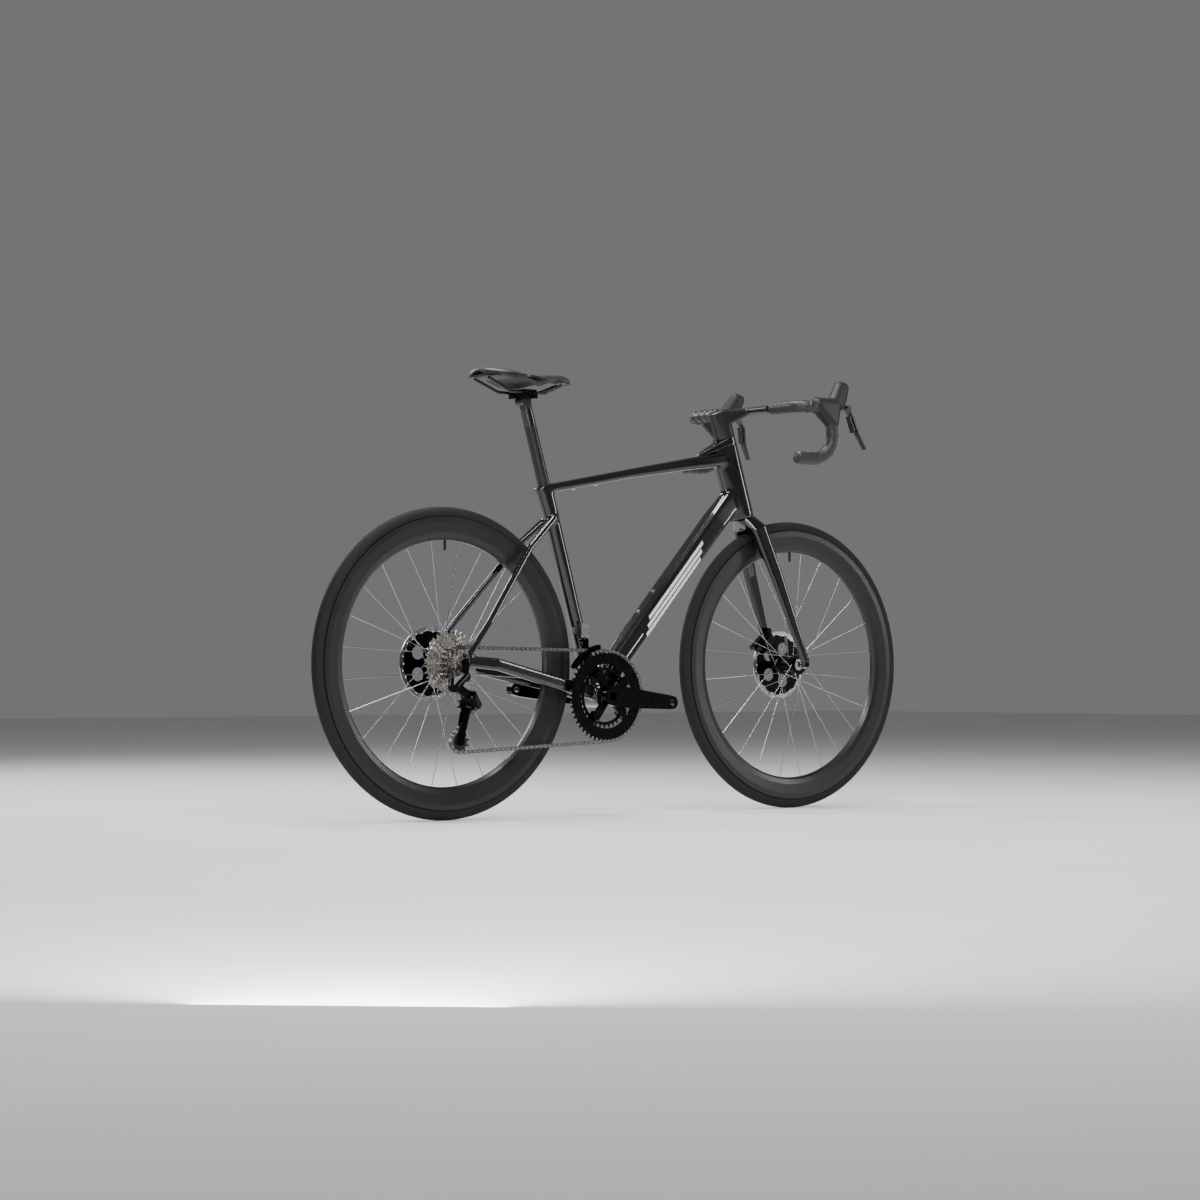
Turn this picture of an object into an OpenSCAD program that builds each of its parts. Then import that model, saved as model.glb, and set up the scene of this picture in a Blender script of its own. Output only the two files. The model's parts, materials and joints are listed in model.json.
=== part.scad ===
// Road bicycle with disc brakes, a two by twelve drivetrain and a one-piece drop handlebar.
// X points forward, Y to the left and Z up. The origin is on the ground, midway between the axles.

/* [Wheels] */
// Distance between the axles
wheelbase = 1005; // [980:1:1030]
// Bead seat diameter of the rims
bead_d = 622; // [622]
// Width and height of the tyre
tyre_w = 28; // [25:1:30]
// Depth of the rim from its outer edge to its inner edge
rim_depth = 50; // [35:1:60]
// Width of the rim outside
rim_w = 28; // [27:1:32]
// Spokes in each wheel, half on each side
spoke_count = 24; // [20:4:28]
// Diameter of the brake rotors
rotor_d = 160; // [140:10:160]
// Thickness of the rotor track
rotor_t = 1.8; // [1.6:0.1:2]
// Diameter of the thru-axles
axle_d = 12; // [12]
// Width of the front hub between the fork ends
front_old = 100; // [100]
// Width of the rear hub between the dropouts
rear_old = 142; // [142]

/* [Frame] */
// Height of the axles above the bottom bracket
bb_drop = 72; // [65:1:78]
// Distance from the bottom bracket to the rear axle
chainstay_l = 415; // [405:1:425]
// Angle of the seat tube above the horizontal
seat_angle = 73.5; // [72:0.1:75]
// Length of the seat tube from the bottom bracket to the seat collar
seat_tube_l = 489; // [460:1:510]
// Angle of the steering axis above the horizontal
head_angle = 73.5; // [71:0.1:74.5]
// Length of the head tube
head_tube_l = 177; // [150:1:190]
// Distance of the front axle in front of the steering axis
fork_rake = 43; // [40:1:50]
// Distance from the front axle to the crown race
fork_l = 375; // [368:1:385]
// Slope of the top tube
top_tube_slope = 10.6; // [6:0.1:14]
// Wall thickness of the tubes
tube_wall = 2; // [1.5:0.1:3]
// Depth of the down tube
down_tube_d = 51; // [42:1:58]
// Width of the down tube
down_tube_w = 43; // [36:1:50]
// Width of the top tube
top_tube_w = 38; // [30:1:44]
// Width of the bottom bracket shell
bb_shell_w = 86.5; // [86.5]
// Bore of the bottom bracket shell
bb_bore = 41; // [41]

/* [Seat] */
// Diameter of the seatpost
post_d = 27.2; // [27.2]
// Length of seatpost inside the seat tube
post_insert = 150; // [110:5:180]
// Length of seatpost that shows above the collar, up to the saddle clamp
post_show = 205; // [160:1:240]
// Length of the saddle
saddle_l = 257; // [240:1:280]
// Width of the saddle
saddle_w = 145; // [130:1:160]
// Diameter of the saddle rails
rail_d = 7; // [7]

/* [Cockpit] */
// Distance from the steering axis to the middle of the bar
stem_l = 78; // [70:1:110]
// Height of the middle of the bar above the ground
bar_z = 933; // [920:1:950]
// Width of the bar between the middles of the hooks
bar_w = 400; // [380:10:440]
// Radius of the hooks of the bar
hook_r = 60; // [56:1:66]
// Diameter of the bar in the hooks
bar_d = 24; // [23:0.1:26]
// Thickness of the bar tape
tape_t = 2.5; // [2:0.5:4]
// Diameter of the steerer tube
steerer_d = 28.6; // [28.6]

/* [Drivetrain] */
// Teeth of the large chainring
big_teeth = 50; // [46:2:54]
// Teeth of the small chainring
small_teeth = 34; // [34:1:39]
// Teeth of the sprocket that the chain is on
drive_teeth = 17; // [17]
// Teeth of each jockey wheel
jockey_teeth = 11; // [11]
// Length of the cranks
crank_l = 172.5; // [165:2.5:175]
// Width of the large ring's band, inside its pitch circle
big_band = 29; // [15:1:34]
// Width of the small ring's band, inside its pitch circle
small_band = 11; // [8:0.5:12]
// Angle of the right crank above the horizontal, pointing forward
crank_angle = -5; // [-90:1:90]
// Distance of the large chainring from the middle of the bike
chainline = 47.5; // [45:0.5:50]
// Distance between neighbouring sprockets
cog_pitch = 3.56; // [3.56]
// Outer distance from the middle of the bike to the face of a crank
crank_face = 74; // [72:0.5:78]
// Diameter of the crank axle
crank_axle_d = 24; // [24]
// Pitch of the chain
pitch = 12.7; // [12.7]

/* [Clearances] */
// Clearance of a bearing, pin or shaft in its hole, on the radius
fit = 0.05; // [0.02:0.01:0.1]
// Gap between parts that move past each other
gap = 0.6; // [0.4:0.1:1.2]
// Gap between a brake pad and its rotor
pad_gap = 0.4; // [0.3:0.05:0.6]

/* [Hidden] */
$fn = 64;

carbon = "#16161a";
satin = "#26262a";
rubber = "#1c1c1e";
silver = "#b9bcc0";
steel = "#8c8f94";
bronze = "#7d6a55";

// Wheels and their axles
tyre_r = bead_d / 2 + tyre_w;
rim_edge_r = bead_d / 2 + 6;
rim_in_r = rim_edge_r - rim_depth;
rim_wall = 2;
rear_x = -wheelbase / 2;
front_x = wheelbase / 2;
rear_axle = [rear_x, 0, tyre_r];
front_axle = [front_x, 0, tyre_r];
front_rotor_y = front_old / 2 - 10.5;
rear_rotor_y = rear_old / 2 - 15.3;
hub_bearing_r = 14;
hub_axle_r = 7.5;
bearing_w = 7;

// Bottom bracket, seat tube and seatpost
bb = [rear_x + sqrt(pow(chainstay_l, 2) - pow(bb_drop, 2)), 0, tyre_r - bb_drop];
seat_dir = [-cos(seat_angle), 0, sin(seat_angle)];
seat_top = bb + seat_tube_l * seat_dir;
post_r = post_d / 2;
seat_tube_r = post_r + tube_wall + 0.4;
clamp_at = seat_top + post_show * seat_dir;

// Steering axis, measured from the crown race
steer_dir = [-cos(head_angle), 0, sin(head_angle)];
steer_fwd = [sin(head_angle), 0, cos(head_angle)];
crown = front_axle - fork_rake * steer_fwd
  + sqrt(pow(fork_l, 2) - pow(fork_rake, 2)) * steer_dir;
steerer_r = steerer_d / 2;
race_r = 16.4;
lower_bearing_r = 23.5;
upper_bearing_r = 20.9;
head_lo_r = lower_bearing_r + 2.6;
head_hi_r = upper_bearing_r + 2.6;
head_lo = gap;
head_hi = head_lo + head_tube_l;
cover_h = 14;
stem_lo = head_hi + cover_h + gap;
bar_x = crown[0] + (stem_l - (bar_z - crown[2]) * steer_fwd[2]) / steer_fwd[0];
bar_mid = [bar_x, 0, bar_z];
stem_hi = (bar_z - crown[2] + 2) / steer_dir[2];
hook_y = bar_w / 2;
corner_r = 32;
hook_mid = [bar_x + corner_r, hook_y, bar_z - hook_r];
grip_r = bar_d / 2 + tape_t;
bar_tail = 50;

// Drivetrain
function pitch_r(n) = pitch / 2 / sin(180 / n);
ring_r = pitch_r(big_teeth);
drive_r = pitch_r(drive_teeth);
jockey_r = pitch_r(jockey_teeth);
roller_r = 3.6;
ring_t = 2;
cogs = [11, 12, 13, 14, 15, 17, 19, 21, 24, 27, 30, 34];
drive_place = 5;
guide_mid = rear_axle + [24, -chainline, -89];
tension_mid = guide_mid + [-18, 0, -80];
hanger_hole = rear_axle + [-9, 0, -29];
mech_pivot = rear_axle + [-38, -88, -46];
mech_knuckle = [guide_mid[0] - 16, mech_pivot[1], guide_mid[2] + 16];
link_dir = unit(mech_knuckle - mech_pivot);
dropout_t = 5.2;
hanger_t = 3;
hanger_y = rear_old / 2 + fit + dropout_t;
front_mech_mid = bb + [-54, -30, 146];
boss_step = 64;
link_half = 6;

function unit(v) = v / norm(v);
function side_of(t) = unit([0, 1, 0] - t[1] * t);
function on_steer(s) = crown + s * steer_dir;
function on_seat(s) = bb + s * seat_dir;
function flip(p, s) = [p[0], s * p[1], p[2]];

// Corner points of a rounded rectangle, w along x and d along y
function rounded(w, d, r, n = 5) = [
  for (c = [0:3], k = [0:n])
    let (a = 90 * c + 90 * k / n)
      [(c == 0 || c == 3 ? 1 : -1) * (w / 2 - r) + r * cos(a),
       (c < 2 ? 1 : -1) * (d / 2 - r) + r * sin(a)]
];

// Puts children at p with their z axis along t and their x axis to the left
module at(p, t) {
  s = side_of(t);
  q = cross(t, s);
  multmatrix([
    [s[0], q[0], t[0], p[0]],
    [s[1], q[1], t[1], p[1]],
    [s[2], q[2], t[2], p[2]]
  ]) children();
}

// A round bar between two points
module rod(a, b, r) {
  v = b - a;
  translate(a)
    rotate([0, acos(v[2] / norm(v)), atan2(v[1], v[0])])
      cylinder(h = norm(v), r = r);
}

// Round bars through a list of points, with round joints a little proud of the bars
module rods(points, r) {
  for (i = [0 : len(points) - 2])
    rod(points[i], points[i + 1], r);
  for (i = [1 : len(points) - 2])
    translate(points[i]) rotate([90, 0, 0]) sphere(r = r * 1.04);
}

// A cylinder along y from y0 to y1
module spin_y(p, y0, y1, r) {
  translate([p[0], y1, p[2]])
    rotate([90, 0, 0])
      cylinder(h = y1 - y0, r = r);
}

// A tube along y
module ring_y(p, y0, y1, r, bore) {
  difference() {
    spin_y(p, y0, y1, r);
    spin_y(p, y0 - 1, y1 + 1, bore);
  }
}

// Turns a profile of [radius, y] about a wheel's axle
module turned(p) {
  translate([p[0], 0, p[2]])
    rotate([-90, 0, 0])
      rotate_extrude($fn = 128)
        children();
}

// A straight-sided tube through stations of [point, width, depth, corner radius]
// with n + 1 points on each corner
module loft(stations, shrink = 0, corner = 5) {
  n = len(stations) - 1;
  for (i = [0 : n - 1])
    hull()
      for (k = [i, i + 1])
        at(stations[k][0], unit(stations[min(k + 1, n)][0] - stations[max(k - 1, 0)][0]))
          linear_extrude(0.2, center = true)
            polygon(rounded(
              stations[k][1] - 2 * shrink,
              stations[k][2] - 2 * shrink,
              max(stations[k][3] - shrink, 1),
              corner
            ));
}

// Stations of the tubes
top_z = [for (x = [seat_top[0] - 4, 0, bb[0] + 255, crown[0] - 45])
  seat_top[2] + 2 + (x - seat_top[0]) * tan(top_tube_slope)];
top_stations = [
  [[seat_top[0] - 4, 0, top_z[0] - 11], top_tube_w - 4, 20, 8],
  [[0, 0, top_z[1] - 10.5], top_tube_w, 21, 8],
  [[bb[0] + 255, 0, top_z[2] - 13.5], top_tube_w, 27, 10],
  [[crown[0] - 45, 0, top_z[3] - 17], top_tube_w, 36, 10]
];
down_dir = unit(on_steer(64) - bb);
down_up = 4 * cross(down_dir, [0, 1, 0]);
down_stations = [
  [on_steer(62), down_tube_w - 10, down_tube_d + 8, 14],
  [on_steer(64) - 100 * down_dir + down_up, down_tube_w, down_tube_d, 11],
  [bb + 110 * down_dir + down_up, down_tube_w + 2, down_tube_d, 11],
  [bb, down_tube_w + 18, down_tube_d - 6, 11]
];
stay_in = 29;
chain_stations = [
  [bb + [-8, 27, 6], 19, 36, 7],
  [[bb[0] - 104, stay_in, bb[2] + 25], 16, 29, 6],
  [[rear_x + 92, rear_rotor_y + 12, tyre_r - 2], 12, 27, 5],
  [[rear_x + 10, rear_old / 2 + 4, tyre_r + 4], 9, 25, 4]
];
stay_top = on_seat(415);
seat_stations = [
  [stay_top + [0, 12, 0], 17, 17, 6],
  [[rear_x + 212, 28, stay_top[2] - 68], 12, 15, 5],
  [[rear_x + 72, rear_rotor_y + 10, tyre_r + 88], 11, 14, 4],
  [[rear_x + 8, rear_old / 2 + 4, tyre_r + 14], 8, 16, 3.5]
];
blade_stations = [
  [crown + [19, 31, -24], 24, 42, 10],
  [crown + [62, 46, -135], 18, 36, 8],
  [[front_x - 30, front_old / 2 + 7, tyre_r + 70], 12, 25, 5],
  [[front_x + 2, front_old / 2 + 6.2, tyre_r + 2], 11.4, 22, 5]
];

// The outside of the head tube, for its shell and for the tubes that meet it
module head_solid(grow = 0) {
  hull() {
    at(on_steer(head_lo), steer_dir) {
      cylinder(h = 0.02, r = head_lo_r + grow);
      translate([0, 30, 0]) cylinder(h = 0.02, r = 13 + grow);
    }
    at(on_steer(head_hi - 0.02), steer_dir) {
      cylinder(h = 0.02, r = head_hi_r + grow);
      translate([0, 38, 0]) cylinder(h = 0.02, r = 12 + grow);
    }
  }
}

// The outside of the seat tube above the bottom bracket shell
module seat_solid() {
  loft([
    [on_seat(0), 40, 38, 14],
    [on_seat(150), 2 * seat_tube_r, 2 * seat_tube_r, seat_tube_r - 0.1],
    [on_seat(seat_tube_l - 90), 2 * seat_tube_r, 2 * seat_tube_r + 4, seat_tube_r - 0.1],
    [on_seat(seat_tube_l) - [3.5, 0, 1], 2 * seat_tube_r + 2, 2 * seat_tube_r + 13, seat_tube_r - 0.1]
  ]);
}

module head_tube() {
  color(carbon)
    difference() {
      head_solid();
      at(on_steer(0), steer_dir) {
        translate([0, 0, -1]) cylinder(h = head_hi + 2, r = steerer_r + 4);
        translate([0, 0, head_lo - 1]) cylinder(h = bearing_w + 1.5, r = lower_bearing_r + fit);
        translate([0, 0, head_hi - bearing_w - 0.5])
          cylinder(h = bearing_w + 1.5, r = upper_bearing_r + fit);
      }
    }
}

module top_tube() {
  color(carbon)
    difference() {
      loft(top_stations);
      loft(top_stations, tube_wall);
      at(on_steer(0), steer_dir) cylinder(h = 300, r = head_lo_r);
      head_solid();
      at(on_seat(200), seat_dir) cylinder(h = 400, r = seat_tube_r + 3);
      for (k = [0, 1])
        translate([seat_top[0] + 82 + k * boss_step, 0, top_z[0]]) cylinder(h = 90, r = 2.5 + fit, center = true);
    }
}

module down_tube() {
  color(carbon)
    difference() {
      loft(down_stations);
      loft(down_stations, tube_wall);
      head_solid();
      spin_y(bb, -60, 60, bb_bore / 2 + 4.5);
      for (k = [0, 1])
        down_boss(k) cylinder(h = 12, r = 2.5 + fit, center = true);
    }
}

// Places children at a bottle boss on top of the down tube, z outward
module down_boss(k) {
  at(bb + (231 + k * boss_step) * down_dir + down_up, down_dir)
    rotate([-90, 0, 0])
      translate([0, 0, down_tube_d / 2])
        children();
}

module seat_tube() {
  color(carbon)
    difference() {
      union() {
        seat_solid();
        spin_y(bb, -bb_shell_w / 2, bb_shell_w / 2, bb_bore / 2 + 4.5);
      }
      spin_y(bb, -60, 60, bb_bore / 2 + fit);
      at(on_seat(60), seat_dir) cylinder(h = seat_tube_l, r = post_r + fit);
      at(on_seat(seat_tube_l - 34), seat_dir)
        translate([-6, -post_r - 4.5, 0]) cube([12, 10, 22]);
      for (k = [0, 1])
        at(on_seat(185 + k * boss_step), seat_dir)
          rotate([90, 0, 0]) cylinder(h = 30, r = 2.5);
    }
}

module chainstays() {
  color(carbon)
    for (side = [-1, 1])
      difference() {
        union() {
          loft([for (s = chain_stations) [flip(s[0], side), s[1], s[2], s[3]]]);
          spin_y(rear_axle, min(side * (rear_old / 2 + fit), side * hanger_y),
            max(side * (rear_old / 2 + fit), side * hanger_y), 13);
        }
        spin_y(rear_axle, -100, 100, axle_d / 2 + fit);
        spin_y(bb, -60, 60, bb_bore / 2 + 4.5);
        translate([rear_x - 20, -rear_old / 2 - fit, tyre_r - 30]) cube([60, rear_old + 2 * fit, 60]);
        at(bb, seat_dir) cylinder(h = 100, r = 20);
      }
}

module seatstays() {
  color(carbon)
    for (side = [-1, 1])
      difference() {
        loft([for (s = seat_stations) [flip(s[0], side), s[1], s[2], s[3]]], 0, 7);
        at(bb, seat_dir) cylinder(h = seat_tube_l, r = seat_tube_r + 0.5);
        translate([rear_x - 20, -rear_old / 2 - fit, tyre_r - 30]) cube([60, rear_old + 2 * fit, 80]);
        spin_y(rear_axle, -100, 100, 13);
      }
}

module derailleur_hanger() {
  color(carbon)
    difference() {
      translate([0, -hanger_y - fit, 0])
        rotate([90, 0, 0])
          linear_extrude(hanger_t)
            polygon([
              [rear_x - 9, tyre_r - 8], [rear_x - 7, tyre_r + 9], [rear_x + 7, tyre_r + 9],
              [rear_x + 10, tyre_r - 6], [rear_x + 2, hanger_hole[2] - 6],
              [rear_x - 8, hanger_hole[2] - 9], [rear_x - 17, hanger_hole[2] - 3],
              [rear_x - 17, hanger_hole[2] + 5]
            ]);
      spin_y(rear_axle, -100, 100, axle_d / 2 + fit);
      spin_y(hanger_hole, -100, 100, 5 + fit);
    }
}

// A plain bearing ring along z
module bearing(r, bore) {
  difference() {
    cylinder(h = bearing_w, r = r);
    translate([0, 0, -1]) cylinder(h = bearing_w + 2, r = bore);
  }
}

// The two headset bearings and the two bottom bracket bearings
module frame_bearings() {
  color(silver) {
    at(on_steer(head_lo + 0.5), steer_dir) bearing(lower_bearing_r, race_r + fit);
    at(on_steer(head_hi - bearing_w), steer_dir) bearing(upper_bearing_r, steerer_r + fit);
    for (side = [-1, 1])
      ring_y(bb, side * 39.5 - bearing_w / 2, side * 39.5 + bearing_w / 2, bb_bore / 2,
        crank_axle_d / 2 + fit);
  }
}

module seat_clamp_wedge() {
  color(steel)
    at(on_seat(seat_tube_l - 33), seat_dir)
      difference() {
        translate([-5.5, -post_r - 4.2, 0]) cube([11, 8, 20]);
        translate([0, 0, -1]) cylinder(h = 30, r = post_r + 0.03);
      }
}

module bottle_bolt() {
  translate([0, 0, -8]) cylinder(h = 8.3, r = 2.5);
  translate([0, 0, 0.3]) cylinder(h = 2.6, r = 4.4);
}

module bottle_bolts() {
  color(silver) {
    for (k = [0, 1])
      down_boss(k) bottle_bolt();
    for (k = [0, 1]) {
      x = seat_top[0] + 82 + k * boss_step;
      z = seat_top[2] + 2 - 21.2 + (x - seat_top[0]) * tan(top_tube_slope);
      translate([x, 0, z]) rotate([180, top_tube_slope, 0]) bottle_bolt();
    }
  }
}

module rear_thru_axle() {
  color(carbon) {
    spin_y(rear_axle, -hanger_y - hanger_t - 2, hanger_y + 1, axle_d / 2);
    spin_y(rear_axle, hanger_y + 0.1, hanger_y + 4, 8.5);
  }
}

// Axle tube with its end caps, and the two bearings that the hub turns on
module hub_axle(p, old, b0, b1) {
  ring_y(p, -old / 2, old / 2, hub_axle_r, axle_d / 2 + fit);
  for (side = [-1, 1])
    ring_y(p, side * (old / 2 - 2.2) - 2.2, side * (old / 2 - 2.2) + 2.2, 9.4, hub_axle_r - 0.5);
  for (y = [b0, b1])
    ring_y(p, y, y + bearing_w, hub_bearing_r - 0.02, hub_axle_r + 0.02);
}

module rear_hub_axle() {
  color(steel) hub_axle(rear_axle, rear_old, -18, 36);
}

// A caliper around its rotor, with x along the tangent and z outward from the axle
module caliper_body(bolt_reach) {
  difference() {
    union() {
      translate([-24, -13, -13]) cube([48, 27, 27]);
      translate([-17, -16.5, -10]) cube([34, 33, 20]);
      translate([-35, -5, bolt_reach - 4]) cube([70, 16, 9]);
    }
    translate([-40, -1.6, -60]) cube([80, 3.2, 68]);
    translate([-15, -9.5, -60]) cube([30, 19, 68]);
  }
}

// Places children at a caliper: along the leg at an angle and height, on the rotor plane
module at_rear_caliper() {
  translate([rear_x + 63, rear_rotor_y, tyre_r + 31])
    rotate([0, 6, 0])
      children();
}

module at_front_caliper() {
  translate([front_x - 46, front_rotor_y, tyre_r + 52])
    rotate([0, -104, 0])
      children();
}

module rear_caliper() {
  color(carbon)
    difference() {
      at_rear_caliper() rotate([0, 55, 0]) caliper_body(12);
      spin_y(rear_axle, rear_rotor_y - 1.6, rear_rotor_y + 1.6, rotor_d / 2 + 1.5);
      loft([for (s = chain_stations) s], -0.3);
      loft([for (s = seat_stations) s], -0.3);
    }
}

module front_caliper() {
  color(carbon)
    difference() {
      at_front_caliper() rotate([0, 63, 0]) caliper_body(12);
      spin_y(front_axle, front_rotor_y - 1.6, front_rotor_y + 1.6, rotor_d / 2 + 1.5);
      loft(blade_stations, -0.3);
    }
}

// A brake pad on one side of the rotor
module pad(side) {
  y0 = side * (rotor_t / 2 + pad_gap);
  y1 = side * (rotor_t / 2 + pad_gap + 4);
  translate([-12, min(y0, y1), -10]) cube([24, abs(y1 - y0), 16]);
}

module rear_pad_left() { color(bronze) at_rear_caliper() rotate([0, 55, 0]) pad(1); }
module rear_pad_right() { color(bronze) at_rear_caliper() rotate([0, 55, 0]) pad(-1); }
module front_pad_left() { color(bronze) at_front_caliper() rotate([0, 63, 0]) pad(1); }
module front_pad_right() { color(bronze) at_front_caliper() rotate([0, 63, 0]) pad(-1); }

module front_mech_body() {
  color(steel)
    difference() {
      translate(front_mech_mid) {
        translate([-9, -8, -16]) cube([22, 15, 30]);
        translate([-8, -6, 10]) cube([16, 12, 8]);
        translate([-9, 0, -8]) cube([16, 26, 16]);
      }
      loft([[on_seat(0), 40.6, 38.6, 14], [on_seat(150), 2 * seat_tube_r + 0.6, 2 * seat_tube_r + 0.6, seat_tube_r],
        [on_seat(300), 2 * seat_tube_r + 0.6, 2 * seat_tube_r + 1.6, seat_tube_r]]);
      spin_y(front_mech_mid + [2, 0, -22], -80, 80, 7);
    }
}

module front_mech_cage() {
  color(steel) {
    for (y = [-chainline - 5.2, -chainline + 4])
      translate([0, y + 1.2, 0])
        rotate([90, 0, 0])
          linear_extrude(1.2)
            translate([bb[0], bb[2]])
                polygon([for (a = [100 : 46 / 9 : 146.1]) (ring_r + 16) * [cos(a), sin(a)],
                  for (a = [146 : -46 / 9 : 99.9]) (ring_r + 5) * [cos(a), sin(a)]]);
    translate([bb[0] + (ring_r + 12) * cos(141), -chainline - 4.5, bb[2] + (ring_r + 12) * sin(141)])
      cube([4, 9, 4]);
    spin_y(front_mech_mid + [2, 0, -22], -chainline + 4, front_mech_mid[1] + 6, 5.5);
    translate(front_mech_mid + [-3, -chainline + 4 - front_mech_mid[1], -46]) cube([10, 7, 24]);
  }
}

// Fixed cover between the head tube and the stem, with a tail that runs down to the top tube
module headset_cover() {
  color(carbon)
    difference() {
      hull() {
        at(on_steer(head_hi + 0.3), steer_dir) {
          cylinder(h = 0.02, r = head_hi_r);
          translate([0, 38, 0]) cylinder(h = 0.02, r = 12);
        }
        translate([crown[0] - 138, 0, seat_top[2] + 1 + (crown[0] - 138 - seat_top[0]) * tan(top_tube_slope)])
          sphere(r = 6, $fn = 24);
        at(on_steer(head_hi + cover_h), steer_dir) {
          cylinder(h = 0.02, r = head_hi_r - 1);
          translate([0, 16, 0]) cylinder(h = 0.02, r = 14);
        }
      }
      at(on_steer(head_hi - 10), steer_dir) cylinder(h = 60, r = steerer_r + 1.5);
      loft(top_stations, -0.2);
      head_solid(0.2);
      below_top_tube();
    }
}

// Everything lower than the middle of the top tube, behind the steering axis
module below_top_tube() {
  a = top_stations[2][0];
  b = top_stations[3][0];
  translate(b)
    rotate([0, -atan2(b[2] - a[2], b[0] - a[0]), 0])
      translate([-260, -60, -120]) cube([300, 120, 120]);
}

module seatpost() {
  color(satin) {
    at(on_seat(seat_tube_l - post_insert), seat_dir)
      difference() {
        cylinder(h = post_insert + post_show - 17, r = post_r);
        translate([0, 0, -1]) cylinder(h = post_insert + post_show - 34, r = post_r - 2.2);
      }
    spin_y(tilt_mid, -14, 14, tilt_r);
  }
}

rail_z = clamp_at[2] + 5;
rail_half = 22;
tilt_r = 12;
tilt_mid = [clamp_at[0], 0, rail_z - 18];

// Lower and upper cradles that grip the rails, with their bolt
module saddle_clamp() {
  color(satin)
    difference() {
      union() {
        translate([clamp_at[0] - 20, -27, rail_z - 13]) cube([40, 54, 12.5]);
        translate([clamp_at[0] - 17, -27, rail_z + 0.5]) cube([34, 54, 6]);
        translate([clamp_at[0] - 5, -5, rail_z - 1]) cube([10, 10, 3]);
      }
      for (side = [-1, 1])
        translate([clamp_at[0] - 50, side * rail_half, rail_z])
          rotate([0, 90, 0]) cylinder(h = 100, r = rail_d / 2 + fit);
      spin_y(tilt_mid, -40, 40, tilt_r + fit);
    }
}

saddle_x = clamp_at[0] - 126;
saddle_top = rail_z + 50;

// Half width of the saddle at x from its tail, in shares of its length
function saddle_half(u) = u < 0.3
  ? saddle_w / 2 * sqrt(max(0, 1 - pow((0.22 - u) / 0.235, 2) * (u < 0.22 ? 1 : 0)))
  : saddle_w / 2 * (0.25 + 0.75 * pow(cos(90 * min(1, (u - 0.3) / 0.5)), 2))
    * sqrt(max(0, 1 - pow(max(0, (u - 0.86) / 0.14), 2)));

function saddle_plan(grow) = [
  for (k = [0 : 24]) [saddle_x + k / 24 * saddle_l, saddle_half(k / 24) + grow],
  for (k = [24 : -1 : 0]) [saddle_x + k / 24 * saddle_l, -saddle_half(k / 24) - grow]
];

module saddle_side(points) {
  translate([0, 150, 0]) rotate([90, 0, 0]) linear_extrude(300) polygon(points);
}

module saddle_cover() {
  color(rubber)
    intersection() {
      translate([0, 0, 800]) linear_extrude(300) polygon(saddle_plan(0));
      saddle_side([
        [saddle_x - 5, saddle_top - 16], [saddle_x - 5, saddle_top - 6],
        [saddle_x + 30, saddle_top], [saddle_x + 120, saddle_top - 2],
        [saddle_x + 210, saddle_top - 1], [saddle_x + saddle_l - 15, saddle_top - 5],
        [saddle_x + saddle_l + 5, saddle_top - 14], [saddle_x + saddle_l + 5, saddle_top - 17],
        [saddle_x + 150, saddle_top - 16]
      ]);
    }
}

module saddle_shell() {
  color(carbon)
    intersection() {
      translate([0, 0, 800]) linear_extrude(300) polygon(saddle_plan(-3));
      saddle_side([
        [saddle_x + 4, saddle_top - 21], [saddle_x + 4, saddle_top - 16.2],
        [saddle_x + 150, saddle_top - 16.2], [saddle_x + saddle_l - 3, saddle_top - 17.2],
        [saddle_x + saddle_l - 7, saddle_top - 24], [saddle_x + 140, saddle_top - 21]
      ]);
    }
}

// One saddle rail through the points, each stretch with round ends
module rail(points) {
  for (i = [0 : len(points) - 2])
    hull()
      for (p = [points[i], points[i + 1]])
        translate(p) rotate([90, 0, 0]) sphere(d = rail_d, $fn = 20);
}

module saddle_rails() {
  color(carbon)
    for (side = [-1, 1])
      rail([
        [saddle_x + 14, side * 26, saddle_top - 25],
        [clamp_at[0] - 52, side * rail_half, rail_z],
        [clamp_at[0] + 42, side * rail_half, rail_z],
        [saddle_x + 225, side * 9, saddle_top - 28]
      ]);
}

module fork() {
  color(carbon) {
    difference() {
      union() {
        at(on_steer(-8), steer_dir) cylinder(h = 22, r = race_r);
        at(on_steer(13.5), steer_dir) cylinder(h = stem_hi - 13.5 - 16, r = steerer_r);
        hull() {
          at(on_steer(-0.1), steer_dir) cylinder(h = 0.02, r = head_lo_r, $fn = 32);
          for (side = [-1, 1])
            at(flip(blade_stations[0][0], side), unit(blade_stations[1][0] - blade_stations[0][0]))
              linear_extrude(0.02) polygon(rounded(24, 42, 10, 3));
        }
        for (side = [-1, 1])
          loft([for (s = blade_stations) [flip(s[0], side), s[1], s[2], s[3]]], 0, 3);
      }
      at(on_steer(-60), steer_dir) cylinder(h = 400, r = steerer_r - 2.3);
      spin_y(front_axle, -100, 100, axle_d / 2 + fit);
      spin_y(front_axle, -front_old / 2 - fit, front_old / 2 + fit, 30);
      turned(front_axle)
        translate([tyre_r - tyre_w / 2, 0]) circle(r = tyre_w / 2 + 4.5, $fn = 32);
    }
  }
}

module front_thru_axle() {
  color(carbon) {
    spin_y(front_axle, -front_old / 2 - 12.5, front_old / 2 + 13, axle_d / 2);
    spin_y(front_axle, front_old / 2 + 12.6, front_old / 2 + 16, 8.5);
  }
}

module front_hub_axle() {
  color(steel) hub_axle(front_axle, front_old, -32, 22);
}

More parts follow.
